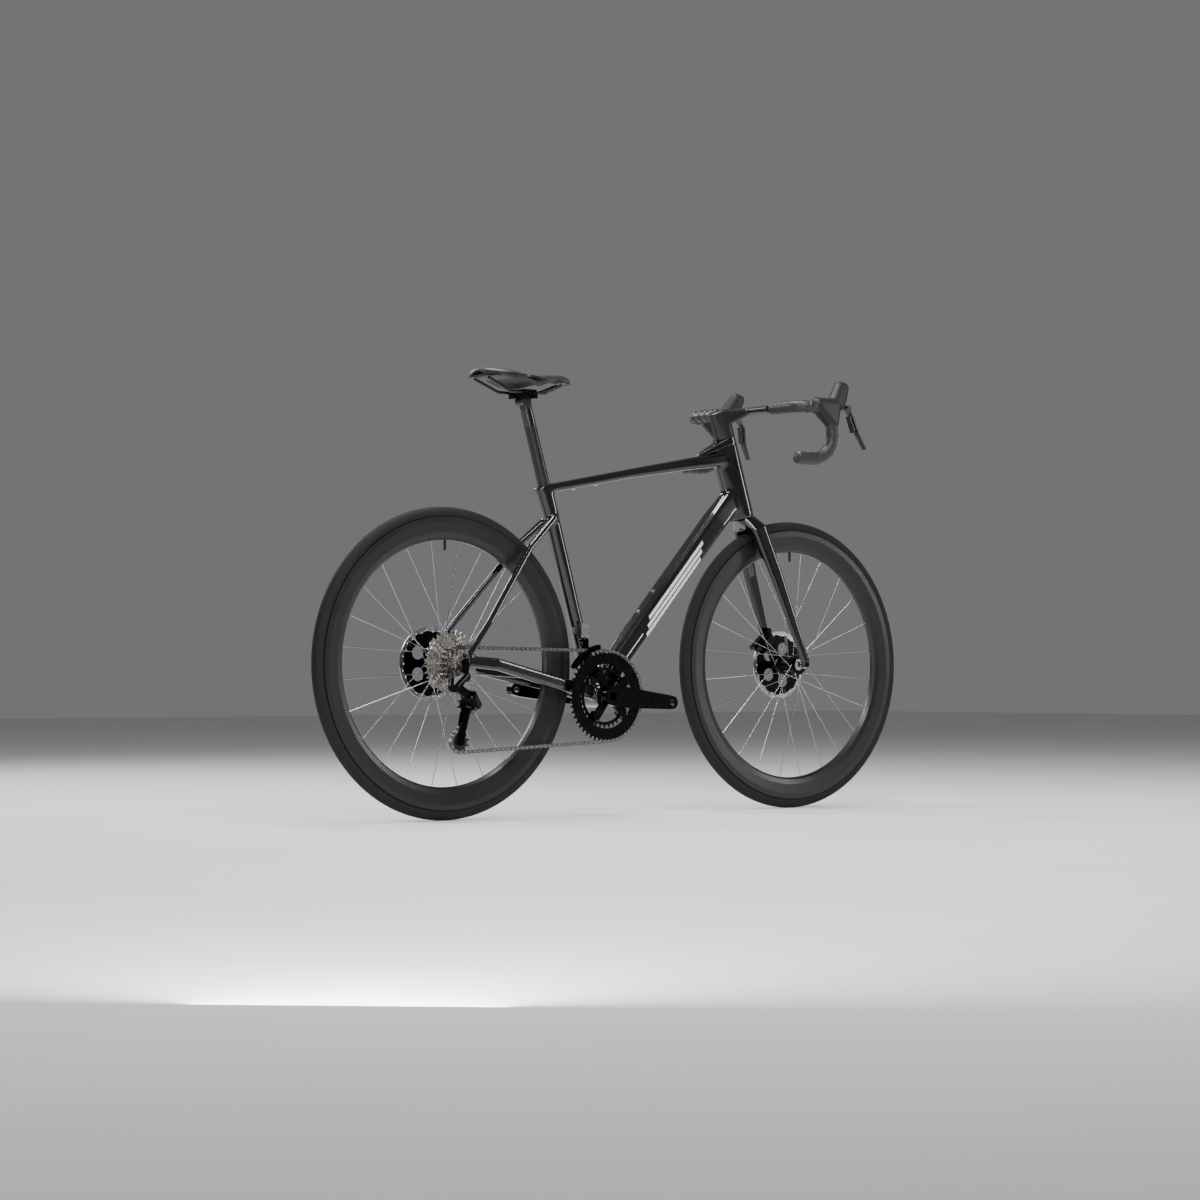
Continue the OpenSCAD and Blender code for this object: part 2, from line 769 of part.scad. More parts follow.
module stem() {
  color(carbon)
    difference() {
      union() {
        hull()
          at(on_steer(stem_lo), steer_dir) {
            cylinder(h = 0.02, r = 22.5);
            translate([0, 16, 0]) cylinder(h = 0.02, r = 13);
            translate([0, 0, stem_hi - stem_lo - 4]) cylinder(h = 0.02, r = 21);
            translate([0, 20, stem_hi - stem_lo - 8]) cylinder(h = 0.02, r = 12);
          }
        loft([
          [on_steer(stem_hi - 24), 44, 38, 10],
          [bar_mid + [-6, 0, 0], 58, 15, 7]
        ]);
      }
      at(on_steer(stem_lo - 5), steer_dir) cylinder(h = stem_hi - stem_lo - 10, r = steerer_r + fit);
      bar_tops(0.2);
    }
}

// Flat middle of the bar, from side to side
module bar_tops(grow = 0) {
  translate([bar_x, 0, bar_z])
    rotate([90, 0, 0])
      linear_extrude(190, center = true)
        polygon(rounded(40 + 2 * grow, 17 + 2 * grow, 8, 5));
}

// One side of the bar past its flat middle, as a round tube of radius r
module bar_side(side, r, from, tail) {
  mirror([0, side > 0 ? 0 : 1, 0]) {
    translate([bar_x, from, bar_z]) rotate([-90, 0, 0]) cylinder(h = hook_y - corner_r - from, r = r);
    translate([bar_x + corner_r, hook_y - corner_r, bar_z])
      rotate([0, 0, 90])
        rotate_extrude(angle = 90) translate([corner_r, 0]) circle(r = r, $fn = 32);
    translate([hook_mid[0], hook_y, hook_mid[2]])
      rotate([90, 0, 0])
        rotate([0, 0, -90])
          rotate_extrude(angle = 180) translate([hook_r, 0]) circle(r = r, $fn = 32);
    translate([hook_mid[0] - tail, hook_y, hook_mid[2] - hook_r])
      rotate([0, 90, 0]) cylinder(h = tail, r = r);
  }
}

module handlebar() {
  color(satin) {
    bar_tops();
    for (side = [-1, 1])
      bar_side(side, bar_d / 2 - 0.02, 94, bar_tail);
  }
}

module bar_tape() {
  color(rubber)
    for (side = [-1, 1])
      difference() {
        bar_side(side, grip_r, 100, bar_tail - 1);
        bar_side(side, bar_d / 2, 94, bar_tail + 5);
        hood_space(side);
      }
}

// The room that a hood takes out of the tape
module hood_space(side) {
  hull() {
    translate([hook_mid[0] + 14, side * hook_y, bar_z + 4]) sphere(r = 19, $fn = 24);
    translate([hook_mid[0] + 58, side * hook_y, bar_z - 34]) sphere(r = 17, $fn = 24);
    translate([hook_mid[0] + 70, side * (hook_y - 5), bar_z + 6]) sphere(r = 17, $fn = 24);
  }
}

module brake_hoods() {
  color(rubber)
    for (side = [-1, 1])
      difference() {
        union() {
          hood_space(side);
          hull() {
            translate([hook_mid[0] + 66, side * (hook_y - 5), bar_z + 4]) sphere(r = 17, $fn = 24);
            translate([hook_mid[0] + 92, side * (hook_y - 10), bar_z + 12]) sphere(r = 15.5, $fn = 24);
            translate([hook_mid[0] + 98, side * (hook_y - 16), bar_z + 52]) sphere(r = 14, $fn = 24);
            translate([hook_mid[0] + 109, side * (hook_y - 16), bar_z + 50]) sphere(r = 14, $fn = 24);
          }
        }
        bar_side(side, bar_d / 2, 94, bar_tail);
        translate([hook_mid[0] + 100, side * (hook_y - 8) - 8.5, bar_z - 50]) cube([60, 17, 64]);
      }
}

lever_pivot = [hook_mid[0] + 115, hook_y - 8, bar_z + 4];

module brake_lever(side) {
  color(carbon)
    difference() {
      brake_lever_blank(side);
      paddle_pin(side, 7, 14, paddle_pin_r + fit);
    }
}

paddle_pin_r = 1.8;

// The pin that a shift paddle turns on, along x between two distances from the lever's pivot
module paddle_pin(side, x0, x1, r) {
  translate([lever_pivot[0] + x0, side * lever_pivot[1], lever_pivot[2] - 22])
    rotate([0, 90, 0]) cylinder(h = x1 - x0, r = r);
}

module brake_lever_blank(side) {
  union() {
    hull() {
      spin_y(lever_pivot, side * lever_pivot[1] - 7.5, side * lever_pivot[1] + 7.5, 6);
      translate([lever_pivot[0] + 9, side * lever_pivot[1] - 7, lever_pivot[2] - 18]) cube([6, 14, 4]);
    }
    hull() {
      translate([lever_pivot[0] + 9, side * lever_pivot[1] - 7, lever_pivot[2] - 20]) cube([6, 14, 4]);
      translate([lever_pivot[0] + 22, side * (hook_y + 1) - 6, lever_pivot[2] - 64]) cube([5, 12, 4]);
    }
    hull() {
      translate([lever_pivot[0] + 22, side * (hook_y + 1) - 6, lever_pivot[2] - 64]) cube([5, 12, 4]);
      translate([lever_pivot[0] + 40, side * (hook_y + 6) - 5, lever_pivot[2] - 96]) cube([4, 10, 3]);
    }
  }
}

module brake_lever_left() { brake_lever(1); }
module brake_lever_right() { brake_lever(-1); }

module shift_paddle(side) {
  color(satin) {
    hull() {
      translate([lever_pivot[0] + 2, side * lever_pivot[1] - 6, lever_pivot[2] - 24]) cube([4, 12, 4]);
      translate([lever_pivot[0] + 11, side * (hook_y - 3) - 6, lever_pivot[2] - 58]) cube([4, 12, 6]);
    }
    paddle_pin(side, 4, 13.5, paddle_pin_r);
  }
}

module shift_paddle_left() { shift_paddle(1); }
module shift_paddle_right() { shift_paddle(-1); }

// Rim section: outer walls and tyre bed around a closed hollow
module rim_section() {
  half = rim_w / 2;
  difference() {
    polygon([
      [rim_edge_r, half], [rim_edge_r - 12, half], [rim_in_r + 16, half * 0.82],
      [rim_in_r + 5, half * 0.58], [rim_in_r, half * 0.25], [rim_in_r, -half * 0.25],
      [rim_in_r + 5, -half * 0.58], [rim_in_r + 16, -half * 0.82], [rim_edge_r - 12, -half],
      [rim_edge_r, -half], [rim_edge_r, 3.4 - half], [bead_d / 2 - 0.2, 3.4 - half],
      [bead_d / 2 - 0.2, 6.8 - half], [bead_d / 2 - 3.5, 8 - half], [bead_d / 2 - 3.5, half - 8],
      [bead_d / 2 - 0.2, half - 6.8], [bead_d / 2 - 0.2, half - 3.4], [rim_edge_r, half - 3.4]
    ]);
    polygon([
      [bead_d / 2 - 6.5, half - rim_wall - 1], [rim_in_r + 16, half * 0.82 - rim_wall],
      [rim_in_r + 6.5, half * 0.58 - rim_wall], [rim_in_r + 2.5, 0],
      [rim_in_r + 6.5, rim_wall - half * 0.58], [rim_in_r + 16, rim_wall - half * 0.82],
      [bead_d / 2 - 6.5, rim_wall + 1 - half]
    ]);
  }
}

module rim(p) {
  color(satin)
    difference() {
      turned(p) rim_section();
      translate([p[0], 0, p[2] + rim_in_r - 5]) cylinder(h = 60, r = 3.3);
    }
}

// Tyre section: a round casing whose beads sit inside the rim's edges
module tyre_section() {
  r = tyre_w / 2;
  c = tyre_r - r;
  t = 2.4;
  a = acos((rim_edge_r + 0.4 - c) / r);
  b = acos((rim_edge_r + 0.4 - c) / (r - t));
  bead = rim_w / 2 - 3.6;
  polygon([
    for (k = [-12 : 12]) [c + r * cos(a * k / 12), r * sin(a * k / 12)],
    [rim_edge_r + 0.4, bead], [bead_d / 2, bead], [bead_d / 2, bead - 2.6],
    for (k = [12 : -1 : -12]) [c + (r - t) * cos(b * k / 12), (r - t) * sin(b * k / 12) * 0.92],
    [bead_d / 2, 2.6 - bead], [bead_d / 2, -bead], [rim_edge_r + 0.4, -bead]
  ]);
}

module tyre(p) {
  color(rubber) turned(p) tyre_section();
}

tube_minor = 7.4;

module inner_tube(p) {
  color(carbon)
    difference() {
      union() {
        turned(p) translate([bead_d / 2 + 8 + tube_minor, 0]) circle(r = tube_minor, $fn = 32);
        translate([p[0], 0, p[2] + rim_in_r - 22]) cylinder(h = bead_d / 2 + 9 - rim_in_r + 22, r = 3);
      }
      turned(p) translate([bead_d / 2 + 8 + tube_minor, 0]) circle(r = tube_minor - 0.9, $fn = 32);
    }
}

// Spokes that leave the flanges at a tangent, turned by half a step from the valve
module spokes(p, flange_r, left_y, right_y) {
  color(silver)
    for (k = [0 : spoke_count - 1]) {
      rim_a = 360 / spoke_count * (k + 0.5);
      side = k % 2 == 0 ? 1 : -1;
      trail = floor(k / 2) % 2 == 0 ? 1 : -1;
      hub_a = rim_a + trail * 62;
      flange_y = side > 0 ? left_y : right_y;
      rod(
        p + [flange_r * cos(hub_a), flange_y + trail * 1.6, flange_r * sin(hub_a)],
        p + [(rim_in_r + 0.4) * cos(rim_a), side * 2, (rim_in_r + 0.4) * sin(rim_a)],
        0.9
      );
    }
}

// Hub shell between its flanges, around the two bearings
module hub_shell(p, left_y, right_y, left_end, right_end, flange_r) {
  color(carbon)
    turned(p)
      polygon([
        [hub_bearing_r, left_end], [16.6, left_end], [16.6, left_y + 4], [flange_r, left_y + 3.2],
        [flange_r, left_y - 3.2], [17, left_y - 6], [16, 0], [17, right_y + 6],
        [flange_r, right_y + 3.2], [flange_r, right_y - 3.2], [17, right_y - 4],
        [17, right_end], [hub_bearing_r, right_end]
      ]);
}

// Rotor with a drilled track on a finned carrier
module rotor(p, y, core) {
  r = rotor_d / 2;
  color(silver)
    difference() {
      union() {
        difference() {
          spin_y(p, y - rotor_t / 2, y + rotor_t / 2, r);
          spin_y(p, y - 3, y + 3, r - 15);
        }
        difference() {
          spin_y(p, y - rotor_t / 2, y + rotor_t / 2, r - 14.5);
          spin_y(p, y - 3, y + 3, core);
          for (k = [0 : 4])
            translate(p + [40 * cos(72 * k), y, 40 * sin(72 * k)])
              rotate([90, 0, 0]) cylinder(h = 8, r = 15, center = true);
        }
        ring_y(p, y - 3.4, y + 3, core + 5, core);
      }
      for (k = [0 : 29])
        translate(p + [(r - 6 - 3.5 * (k % 2)) * cos(12 * k), y, (r - 6 - 3.5 * (k % 2)) * sin(12 * k)])
          rotate([90, 0, 0]) cylinder(h = 8, r = 2, center = true, $fn = 16);
    }
}

module front_rim() { rim(front_axle); }
module front_tyre() { tyre(front_axle); }
module front_inner_tube() { inner_tube(front_axle); }
module front_spokes() { spokes(front_axle, 20.5, 24, -30); }
module front_hub_shell() { hub_shell(front_axle, 24, -30, front_rotor_y - 3.5, -34, 23); }
module front_rotor() { rotor(front_axle, front_rotor_y, hub_bearing_r + 1); }
module rear_rim() { rim(rear_axle); }
module rear_tyre() { tyre(rear_axle); }
module rear_inner_tube() { inner_tube(rear_axle); }
module rear_spokes() { spokes(rear_axle, 21.5, 34, -18); }
module rear_hub_shell() { hub_shell(rear_axle, 34, -18, rear_rotor_y - 3.5, -22.5, 24); }
module rear_rotor() { rotor(rear_axle, rear_rotor_y, hub_bearing_r + 1); }

// Outline of a toothed ring whose valleys clear the chain rollers
function teeth(n) = [
  for (k = [0 : n - 1], c = [[-0.25, -4.3], [-0.07, 3], [0.07, 3], [0.25, -4.3]])
    let (a = 360 / n * (k + 0.5 + c[0]), r = pitch_r(n) + c[1])
      [r * cos(a), r * sin(a)]
];

// A toothed plate across y, turned by a
module sprocket(p, y, n, t, a = 0) {
  translate([p[0], y + t / 2, p[2]])
    rotate([90, a, 0])
      linear_extrude(t) polygon(teeth(n));
}

module cassette() {
  color("#a79a86")
    difference() {
      union() {
        for (k = [0 : len(cogs) - 1])
          sprocket(rear_axle, -chainline + (k - drive_place) * cog_pitch, cogs[k], 1.7,
            k == drive_place ? chain_phase(3) : 0);
        spin_y(rear_axle, -chainline - (drive_place + 0.3) * cog_pitch,
          -chainline + (len(cogs) - 1 - drive_place) * cog_pitch, 17.4);
      }
      spin_y(rear_axle, -100, 0, 10.4);
    }
}

ring_bolt_r = 55;
arm_angles = [38, 122, 238, 322];

// Turns children with the cranks, x along the right arm and y up, facing the drive side
module crank_frame() {
  translate(bb) rotate([0, -crank_angle, 0]) rotate([90, 0, 0]) children();
}

module crank_arm_right() {
  color(satin)
    difference() {
      union() {
        crank_frame() {
          translate([0, 0, chainline + 6]) cylinder(h = crank_face - chainline - 9, r = 20);
          translate([0, 0, crank_face - 17])
            linear_extrude(17)
              polygon([
                [-18, 12], [-8, 20], [28, 24], [crank_l - 8, 16], [crank_l + 9, 13], [crank_l + 15, 5],
                [crank_l + 15, -5], [crank_l + 9, -13], [crank_l - 8, -16], [28, -24], [-8, -20],
                [-18, -12]
              ]);
          for (a = arm_angles)
            rotate([0, 0, a])
              translate([12, -9, chainline + 4]) cube([ring_bolt_r - 4, 18, 7]);
        }
      }
      spin_y(bb, 8 - crank_face, 100, crank_axle_d / 2 + 0.01);
      spin_y(bb, -100, 100, crank_axle_d / 2 - 2.5);
      crank_frame()
        translate([crank_l, 0, 0]) cylinder(h = 100, r = 7.144);
      for (a = arm_angles)
        crank_frame()
          rotate([0, 0, a]) translate([ring_bolt_r, 0, 0]) cylinder(h = 70, r = 4);
    }
}

module crank_spindle() {
  color(satin)
    difference() {
      spin_y(bb, 8 - crank_face, crank_face - 6, crank_axle_d / 2);
      spin_y(bb, -100, 100, crank_axle_d / 2 - 2.5);
    }
}

module crank_arm_left() {
  color(satin)
    difference() {
      crank_frame()
        translate([0, 0, -crank_face])
          linear_extrude(18)
            polygon([
              [18, 12], [8, 19], [-28, 20], [8 - crank_l, 15], [-9 - crank_l, 12],
              [-15 - crank_l, 5], [-15 - crank_l, -5], [-9 - crank_l, -12], [8 - crank_l, -15],
              [-28, -20], [8, -19], [18, -12]
            ]);
      spin_y(bb, 0, 100, crank_axle_d / 2 + 0.01);
      crank_frame()
        translate([-crank_l, 0, -100]) cylinder(h = 100, r = 7.144);
    }
}

// A chainring: toothed outside, open inside, with a lug for the bolt of each arm
module chainring(y, n, turn, inside) {
  difference() {
    sprocket(bb, y, n, ring_t, turn);
    difference() {
      spin_y(bb, y - ring_t, y + ring_t, inside);
      crank_frame()
        for (a = arm_angles)
          rotate([0, 0, a])
            translate([ring_bolt_r - 8, -9, -y - ring_t]) cube([inside - ring_bolt_r + 12, 18, 2 * ring_t]);
    }
  }
}

module chainrings() {
  color(satin) {
    chainring(-chainline, big_teeth, chain_phase(0), ring_r - big_band);
    chainring(-chainline + 6.4, small_teeth, 0, pitch_r(small_teeth) - small_band);
    crank_frame()
      for (a = arm_angles)
        rotate([0, 0, a]) {
          translate([ring_bolt_r, 0, chainline - 7.6]) cylinder(h = 11.5, r = 6.5);
          translate([ring_bolt_r, 0, chainline]) cylinder(h = 10.5, r = 4 - fit);
        }
  }
}

// Circles that the chain runs round, as [x, z, signed radius], clockwise from the drive side
loops = [
  [bb[0], bb[2], ring_r], [tension_mid[0], tension_mid[2], jockey_r],
  [guide_mid[0], guide_mid[2], -jockey_r], [rear_axle[0], rear_axle[2], drive_r]
];

// Heading of the straight run from one circle to the next
function heading(i) =
  let (a = loops[i], b = loops[(i + 1) % 4], d = [b[0] - a[0], b[1] - a[1]])
    atan2(d[1], d[0]) + asin((b[2] - a[2]) / norm(d));
function run_length(i) =
  let (a = loops[i], b = loops[(i + 1) % 4])
    sqrt(pow(b[0] - a[0], 2) + pow(b[1] - a[1], 2) - pow(b[2] - a[2], 2));
// Angle that the chain turns through on a circle, clockwise positive
function wrap(i) =
  let (t = heading((i + 3) % 4) - heading(i), s = sign(loops[i][2]))
    s > 0 ? (t % 360 + 360) % 360 : -((-t % 360 + 360) % 360);
function wrap_length(i) = abs(wrap(i)) / 180 * PI * abs(loops[i][2]);
function path_start(i) = i == 0 ? 0 : path_start(i - 1) + wrap_length(i - 1) + run_length(i - 1);
path_total = path_start(3) + wrap_length(3) + run_length(3);
link_count = 2 * round(path_total / pitch / 2);
link_step = path_total / link_count;

// Point of the chain's path at a distance along it from the top of the large chainring
function chain_at(s) = let (
    i = s >= path_start(3) ? 3 : s >= path_start(2) ? 2 : s >= path_start(1) ? 1 : 0,
    c = loops[i], d = s - path_start(i), w = wrap_length(i),
    h0 = heading((i + 3) % 4),
    turn = min(d, w) / w * wrap(i), h = h0 - turn, rest = max(0, d - w)
  )
  [c[0] - c[2] * sin(h) + rest * cos(h), c[1] + c[2] * cos(h) + rest * sin(h)];

// Turn that sets a wheel's valleys on the rollers at the middle of its wrap
function chain_phase(i) = let (
    c = loops[i], n = [big_teeth, jockey_teeth, jockey_teeth, drive_teeth][i],
    mid = path_start(i) + wrap_length(i) / 2,
    p = chain_at(round(mid / link_step) * link_step),
    a = atan2(p[1] - c[1], p[0] - c[0])
  )
  -(a - 360 / n * round(a / (360 / n)));

// Closed outline at a distance outside the chain's path, one point for each link
function chain_outline(off) = [
  for (k = [0 : link_count - 1])
    let (
      a = chain_at(((k + link_count - 1) % link_count) * link_step),
      b = chain_at(((k + 1) % link_count) * link_step),
      t = unit(b - a), p = chain_at(k * link_step)
    )
      p + off * [-t[1], t[0]]
];

// Side plates on each side of the teeth, joined by the rollers
module chain() {
  color(bronze) {
    for (side = [-1, 1])
      translate([0, -chainline + side * 2.07 + 0.52, 0])
        rotate([90, 0, 0])
          linear_extrude(1.04)
            difference() {
              polygon(chain_outline(3.6));
              polygon(chain_outline(-3.6));
            }
    for (k = [0 : link_count - 1]) {
      p = chain_at(k * link_step);
      translate([p[0], -chainline, p[1]])
        rotate([90, 0, 0]) cylinder(h = 4, r = roller_r - 0.2, center = true, $fn = 16);
    }
  }
}

// Room for the end of the link and for its swing to each side: a wedge with a round back
module link_room(p, way) {
  s = side_of(link_axis);
  a = atan2(way * link_dir * cross(link_axis, s), way * link_dir * s);
  swing = 28;
  r = 7.4;
  back = [for (k = [0 : 10]) a + swing + 90 + k * (180 - 2 * swing) / 10];
  at(p, link_axis)
    linear_extrude(2 * link_half + 1, center = true)
      polygon([
        40 * [cos(a + swing), sin(a + swing)] + r * [cos(a + swing + 90), sin(a + swing + 90)],
        for (b = back) r * [cos(b), sin(b)],
        40 * [cos(a - swing), sin(a - swing)] + r * [cos(a - swing - 90), sin(a - swing - 90)]
      ]);
}

module rear_mech_base() {
  color(carbon) {
    difference() {
      union() {
        spin_y(hanger_hole, -hanger_y - hanger_t - 14, -hanger_y - hanger_t - 0.4, 11);
        hull() {
          spin_y(hanger_hole, -hanger_y - hanger_t - 14, -hanger_y - hanger_t - 2, 8);
          at(mech_pivot, link_axis) cylinder(h = 2 * link_half + 9, r = 12, center = true, $fn = 32);
        }
      }
      at(mech_pivot, link_axis) cylinder(h = 60, r = 3 + fit, center = true);
      link_room(mech_pivot, 1);
      spin_y(rear_axle, -hanger_y - hanger_t - 0.4, 0, 60);
    }
    spin_y(hanger_hole, -hanger_y - hanger_t - 4, -hanger_y + 1, 5);
  }
}

link_axis = unit(cross(link_dir, unit([-0.29, 0.84, -0.45])));

// Parallelogram link with its two pivot pins
module rear_mech_link() {
  color(carbon) {
    hull()
      for (p = [mech_pivot, mech_knuckle])
        at(p, link_axis) cylinder(h = 2 * link_half, r = 6.5, center = true, $fn = 32);
    for (p = [mech_pivot, mech_knuckle])
      at(p, link_axis) cylinder(h = 2 * link_half + 10, r = 3, center = true);
  }
}

module rear_mech_knuckle() {
  color(carbon)
    difference() {
      union() {
        spin_y(guide_mid, -chainline - 32, -chainline - 9, 12);
        hull() {
          spin_y(guide_mid, mech_pivot[1] - 3, mech_pivot[1] + 18, 9);
          at(mech_knuckle, link_axis) cylinder(h = 2 * link_half + 9, r = 11, center = true, $fn = 32);
        }
      }
      at(mech_knuckle, link_axis) cylinder(h = 60, r = 3 + fit, center = true);
      link_room(mech_knuckle, -1);
      spin_y(guide_mid, -chainline - 24, 0, 5 + fit);
    }
}

// Outline of a cage plate round both jockey wheels
module cage_outline() {
  g = [guide_mid[0], guide_mid[2]];
  t = [tension_mid[0], tension_mid[2]];
  v = unit(t - g);
  n = [-v[1], v[0]];
  translate(g) circle(r = 11);
  translate(t) circle(r = 8);
  polygon([g + 9 * n, t + 6 * n, t - 6 * n, g - 9 * n]);
}

module cage_plate(y) {
  translate([0, y, 0]) rotate([90, 0, 0]) linear_extrude(1.6) cage_outline();
}

module rear_mech_cage() {
  color(carbon) {
    cage_plate(-chainline - 5.4);
    cage_plate(-chainline + 7);
    spin_y(guide_mid, -chainline - 23, -chainline + 5.6, 3.5);
    spin_y(guide_mid, -chainline - 23, -chainline - 6.5, 5);
    spin_y(tension_mid, -chainline - 6, -chainline + 6, 3.5);
  }
}

module jockey_wheel(p, turn) {
  color(rubber)
    difference() {
      sprocket(p, -chainline, jockey_teeth, 2, turn);
      spin_y(p, -100, 0, 3.5 + fit);
    }
}

module guide_wheel() { jockey_wheel(guide_mid, chain_phase(2)); }
module tension_wheel() { jockey_wheel(tension_mid, chain_phase(1)); }

head_tube();
top_tube();
down_tube();
seat_tube();
chainstays();
seatstays();
derailleur_hanger();
frame_bearings();
seat_clamp_wedge();
bottle_bolts();
rear_thru_axle();
rear_hub_axle();
rear_caliper();
front_mech_body();
headset_cover();
seatpost();
saddle_clamp();
saddle_cover();
saddle_shell();
saddle_rails();
fork();
front_thru_axle();
front_hub_axle();
front_caliper();
stem();
handlebar();
bar_tape();
brake_hoods();
front_pad_left();
front_pad_right();
rear_pad_left();
rear_pad_right();
brake_lever_left();
brake_lever_right();
shift_paddle_left();
shift_paddle_right();
front_rim();
front_tyre();
front_inner_tube();
front_spokes();
front_hub_shell();
front_rotor();
rear_rim();
rear_tyre();
rear_inner_tube();
rear_spokes();
rear_hub_shell();
rear_rotor();
cassette();
crank_arm_right();
crank_spindle();
crank_arm_left();
chainrings();
chain();
rear_mech_base();
rear_mech_link();
rear_mech_knuckle();
rear_mech_cage();
guide_wheel();
tension_wheel();
front_mech_cage();
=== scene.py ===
"""Looks for a road bicycle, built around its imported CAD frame. Lengths are in metres."""

import json
import math

import bmesh
import bpy
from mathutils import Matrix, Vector


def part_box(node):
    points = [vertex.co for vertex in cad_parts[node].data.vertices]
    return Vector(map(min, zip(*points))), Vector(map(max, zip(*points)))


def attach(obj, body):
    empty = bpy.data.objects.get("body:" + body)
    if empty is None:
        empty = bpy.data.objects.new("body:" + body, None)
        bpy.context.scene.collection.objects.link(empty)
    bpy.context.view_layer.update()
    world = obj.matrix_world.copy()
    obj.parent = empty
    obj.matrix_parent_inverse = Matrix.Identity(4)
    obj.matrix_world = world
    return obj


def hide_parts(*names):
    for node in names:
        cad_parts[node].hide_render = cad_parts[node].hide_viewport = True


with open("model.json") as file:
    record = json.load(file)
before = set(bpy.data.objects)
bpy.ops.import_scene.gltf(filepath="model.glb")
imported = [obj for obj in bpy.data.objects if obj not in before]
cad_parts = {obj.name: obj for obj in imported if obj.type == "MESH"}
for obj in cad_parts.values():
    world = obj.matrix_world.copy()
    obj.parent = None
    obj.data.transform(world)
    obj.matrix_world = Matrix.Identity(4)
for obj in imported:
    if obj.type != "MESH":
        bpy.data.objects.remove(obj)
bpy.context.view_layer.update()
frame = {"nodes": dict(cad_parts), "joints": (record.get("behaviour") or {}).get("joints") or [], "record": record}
NODES = frame["nodes"]
COLLECTION = bpy.context.scene.collection

# ---------------------------------------------------------------- positions

def joint(name):
    return next(j for j in frame["joints"] if j["name"] == name)


def middle(node):
    lo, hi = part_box(node)
    return (lo + hi) / 2


FRONT = middle("front_rim")
REAR = middle("rear_rim")
BB = Vector(joint("crank_spin")["pos_m"])
CROWN = Vector(joint("steering")["pos_m"])
STEER = Vector(joint("steering")["axis"]).normalized()
SEAT = Vector(joint("seatpost_height")["axis"]).normalized()
LEFT = Vector((0, 1, 0))

# ---------------------------------------------------------------- materials


class Nodes:
    """A short way to write a material's node tree."""

    def __init__(self, name):
        self.mat = bpy.data.materials.new(name)
        self.mat.use_nodes = True
        self.tree = self.mat.node_tree
        self.shader = self.tree.nodes["Principled BSDF"]

    def add(self, kind, **values):
        node = self.tree.nodes.new(kind)
        for key, value in values.items():
            if hasattr(node, key):
                setattr(node, key, value)
            else:
                node.inputs[key].default_value = value
        return node

    def link(self, a, out, b, into):
        self.tree.links.new(a.outputs[out], b.inputs[into])

    def set(self, **values):
        for key, value in values.items():
            self.shader.inputs[key.replace("_", " ")].default_value = value
        return self

    def place(self):
        """Object coordinates, which stay on the piece."""
        return self.add("ShaderNodeTexCoord")

    def ramp(self, source, out, stops, into):
        ramp = self.add("ShaderNodeValToRGB")
        elements = ramp.color_ramp.elements
        while len(elements) < len(stops):
            elements.new(0.5)
        for element, (at, colour) in zip(elements, stops):
            element.position = at
            element.color = (*colour, 1) if len(colour) == 3 else (colour[0],) * 3 + (1,)
        self.link(source, out, ramp, "Fac")
        self.link(ramp, "Color", self.shader, into)
        return ramp

    def noise(self, scale, detail=4, rough=0.55, stretch=None):
        place = self.place()
        noise = self.add("ShaderNodeTexNoise")
        noise.inputs["Scale"].default_value = scale
        noise.inputs["Detail"].default_value = detail
        noise.inputs["Roughness"].default_value = rough
        if stretch:
            mapping = self.add("ShaderNodeMapping")
            mapping.inputs["Scale"].default_value = stretch
            self.link(place, "Object", mapping, "Vector")
            self.link(mapping, "Vector", noise, "Vector")
        else:
            self.link(place, "Object", noise, "Vector")
        return noise

    def bump(self, source, out, strength, distance, after=None):
        bump = self.add("ShaderNodeBump")
        bump.inputs["Strength"].default_value = strength
        bump.inputs["Distance"].default_value = distance
        self.link(source, out, bump, "Height")
        if after:
            self.link(after, "Normal", bump, "Normal")
        self.link(bump, "Normal", self.shader, "Normal")
        return bump


def gloss_carbon():
    n = Nodes("gloss_carbon")
    n.set(Metallic=0.0, Specular_IOR_Level=0.2, Coat_Weight=1.0, Coat_Roughness=0.035, Coat_IOR=1.5)
    smudge = n.noise(9, 5)
    n.ramp(smudge, "Fac", [(0.3, (0.0025, 0.0025, 0.003)), (0.75, (0.005, 0.005, 0.006))], "Base Color")
    n.ramp(smudge, "Fac", [(0.25, (0.17,)), (0.8, (0.26,))], "Roughness")
    fleck = n.noise(900, 2)
    n.bump(fleck, "Fac", 0.03, 0.0002)
    return n.mat


def satin_carbon():
    n = Nodes("satin_carbon")
    n.set(Specular_IOR_Level=0.25, Coat_Weight=0.3, Coat_Roughness=0.22)
    place = n.place()
    weave = n.add("ShaderNodeTexWave")
    weave.wave_type = "BANDS"
    weave.bands_direction = "DIAGONAL"
    weave.inputs["Scale"].default_value = 160
    weave.inputs["Distortion"].default_value = 1.2
    n.link(place, "Object", weave, "Vector")
    n.ramp(weave, "Fac", [(0.1, (0.006, 0.006, 0.007)), (0.9, (0.011, 0.011, 0.0125))], "Base Color")
    haze = n.noise(14, 5)
    n.ramp(haze, "Fac", [(0.25, (0.34,)), (0.8, (0.5,))], "Roughness")
    n.bump(weave, "Fac", 0.05, 0.0001)
    return n.mat


def metal(name, low, high, rough, grain=None, brushed=None):
    """Bare or anodised metal with a fine grain, brushed along an axis where that is given."""
    n = Nodes(name)
    n.set(Metallic=1.0)
    base = n.noise(grain or 220, 4, 0.6, brushed)
    n.ramp(base, "Fac", [(0.3, low), (0.75, high)], "Base Color")
    n.ramp(base, "Fac", [(0.2, (rough * 0.75,)), (0.85, (rough * 1.3,))], "Roughness")
    n.bump(base, "Fac", 0.06, 0.0001)
    return n.mat


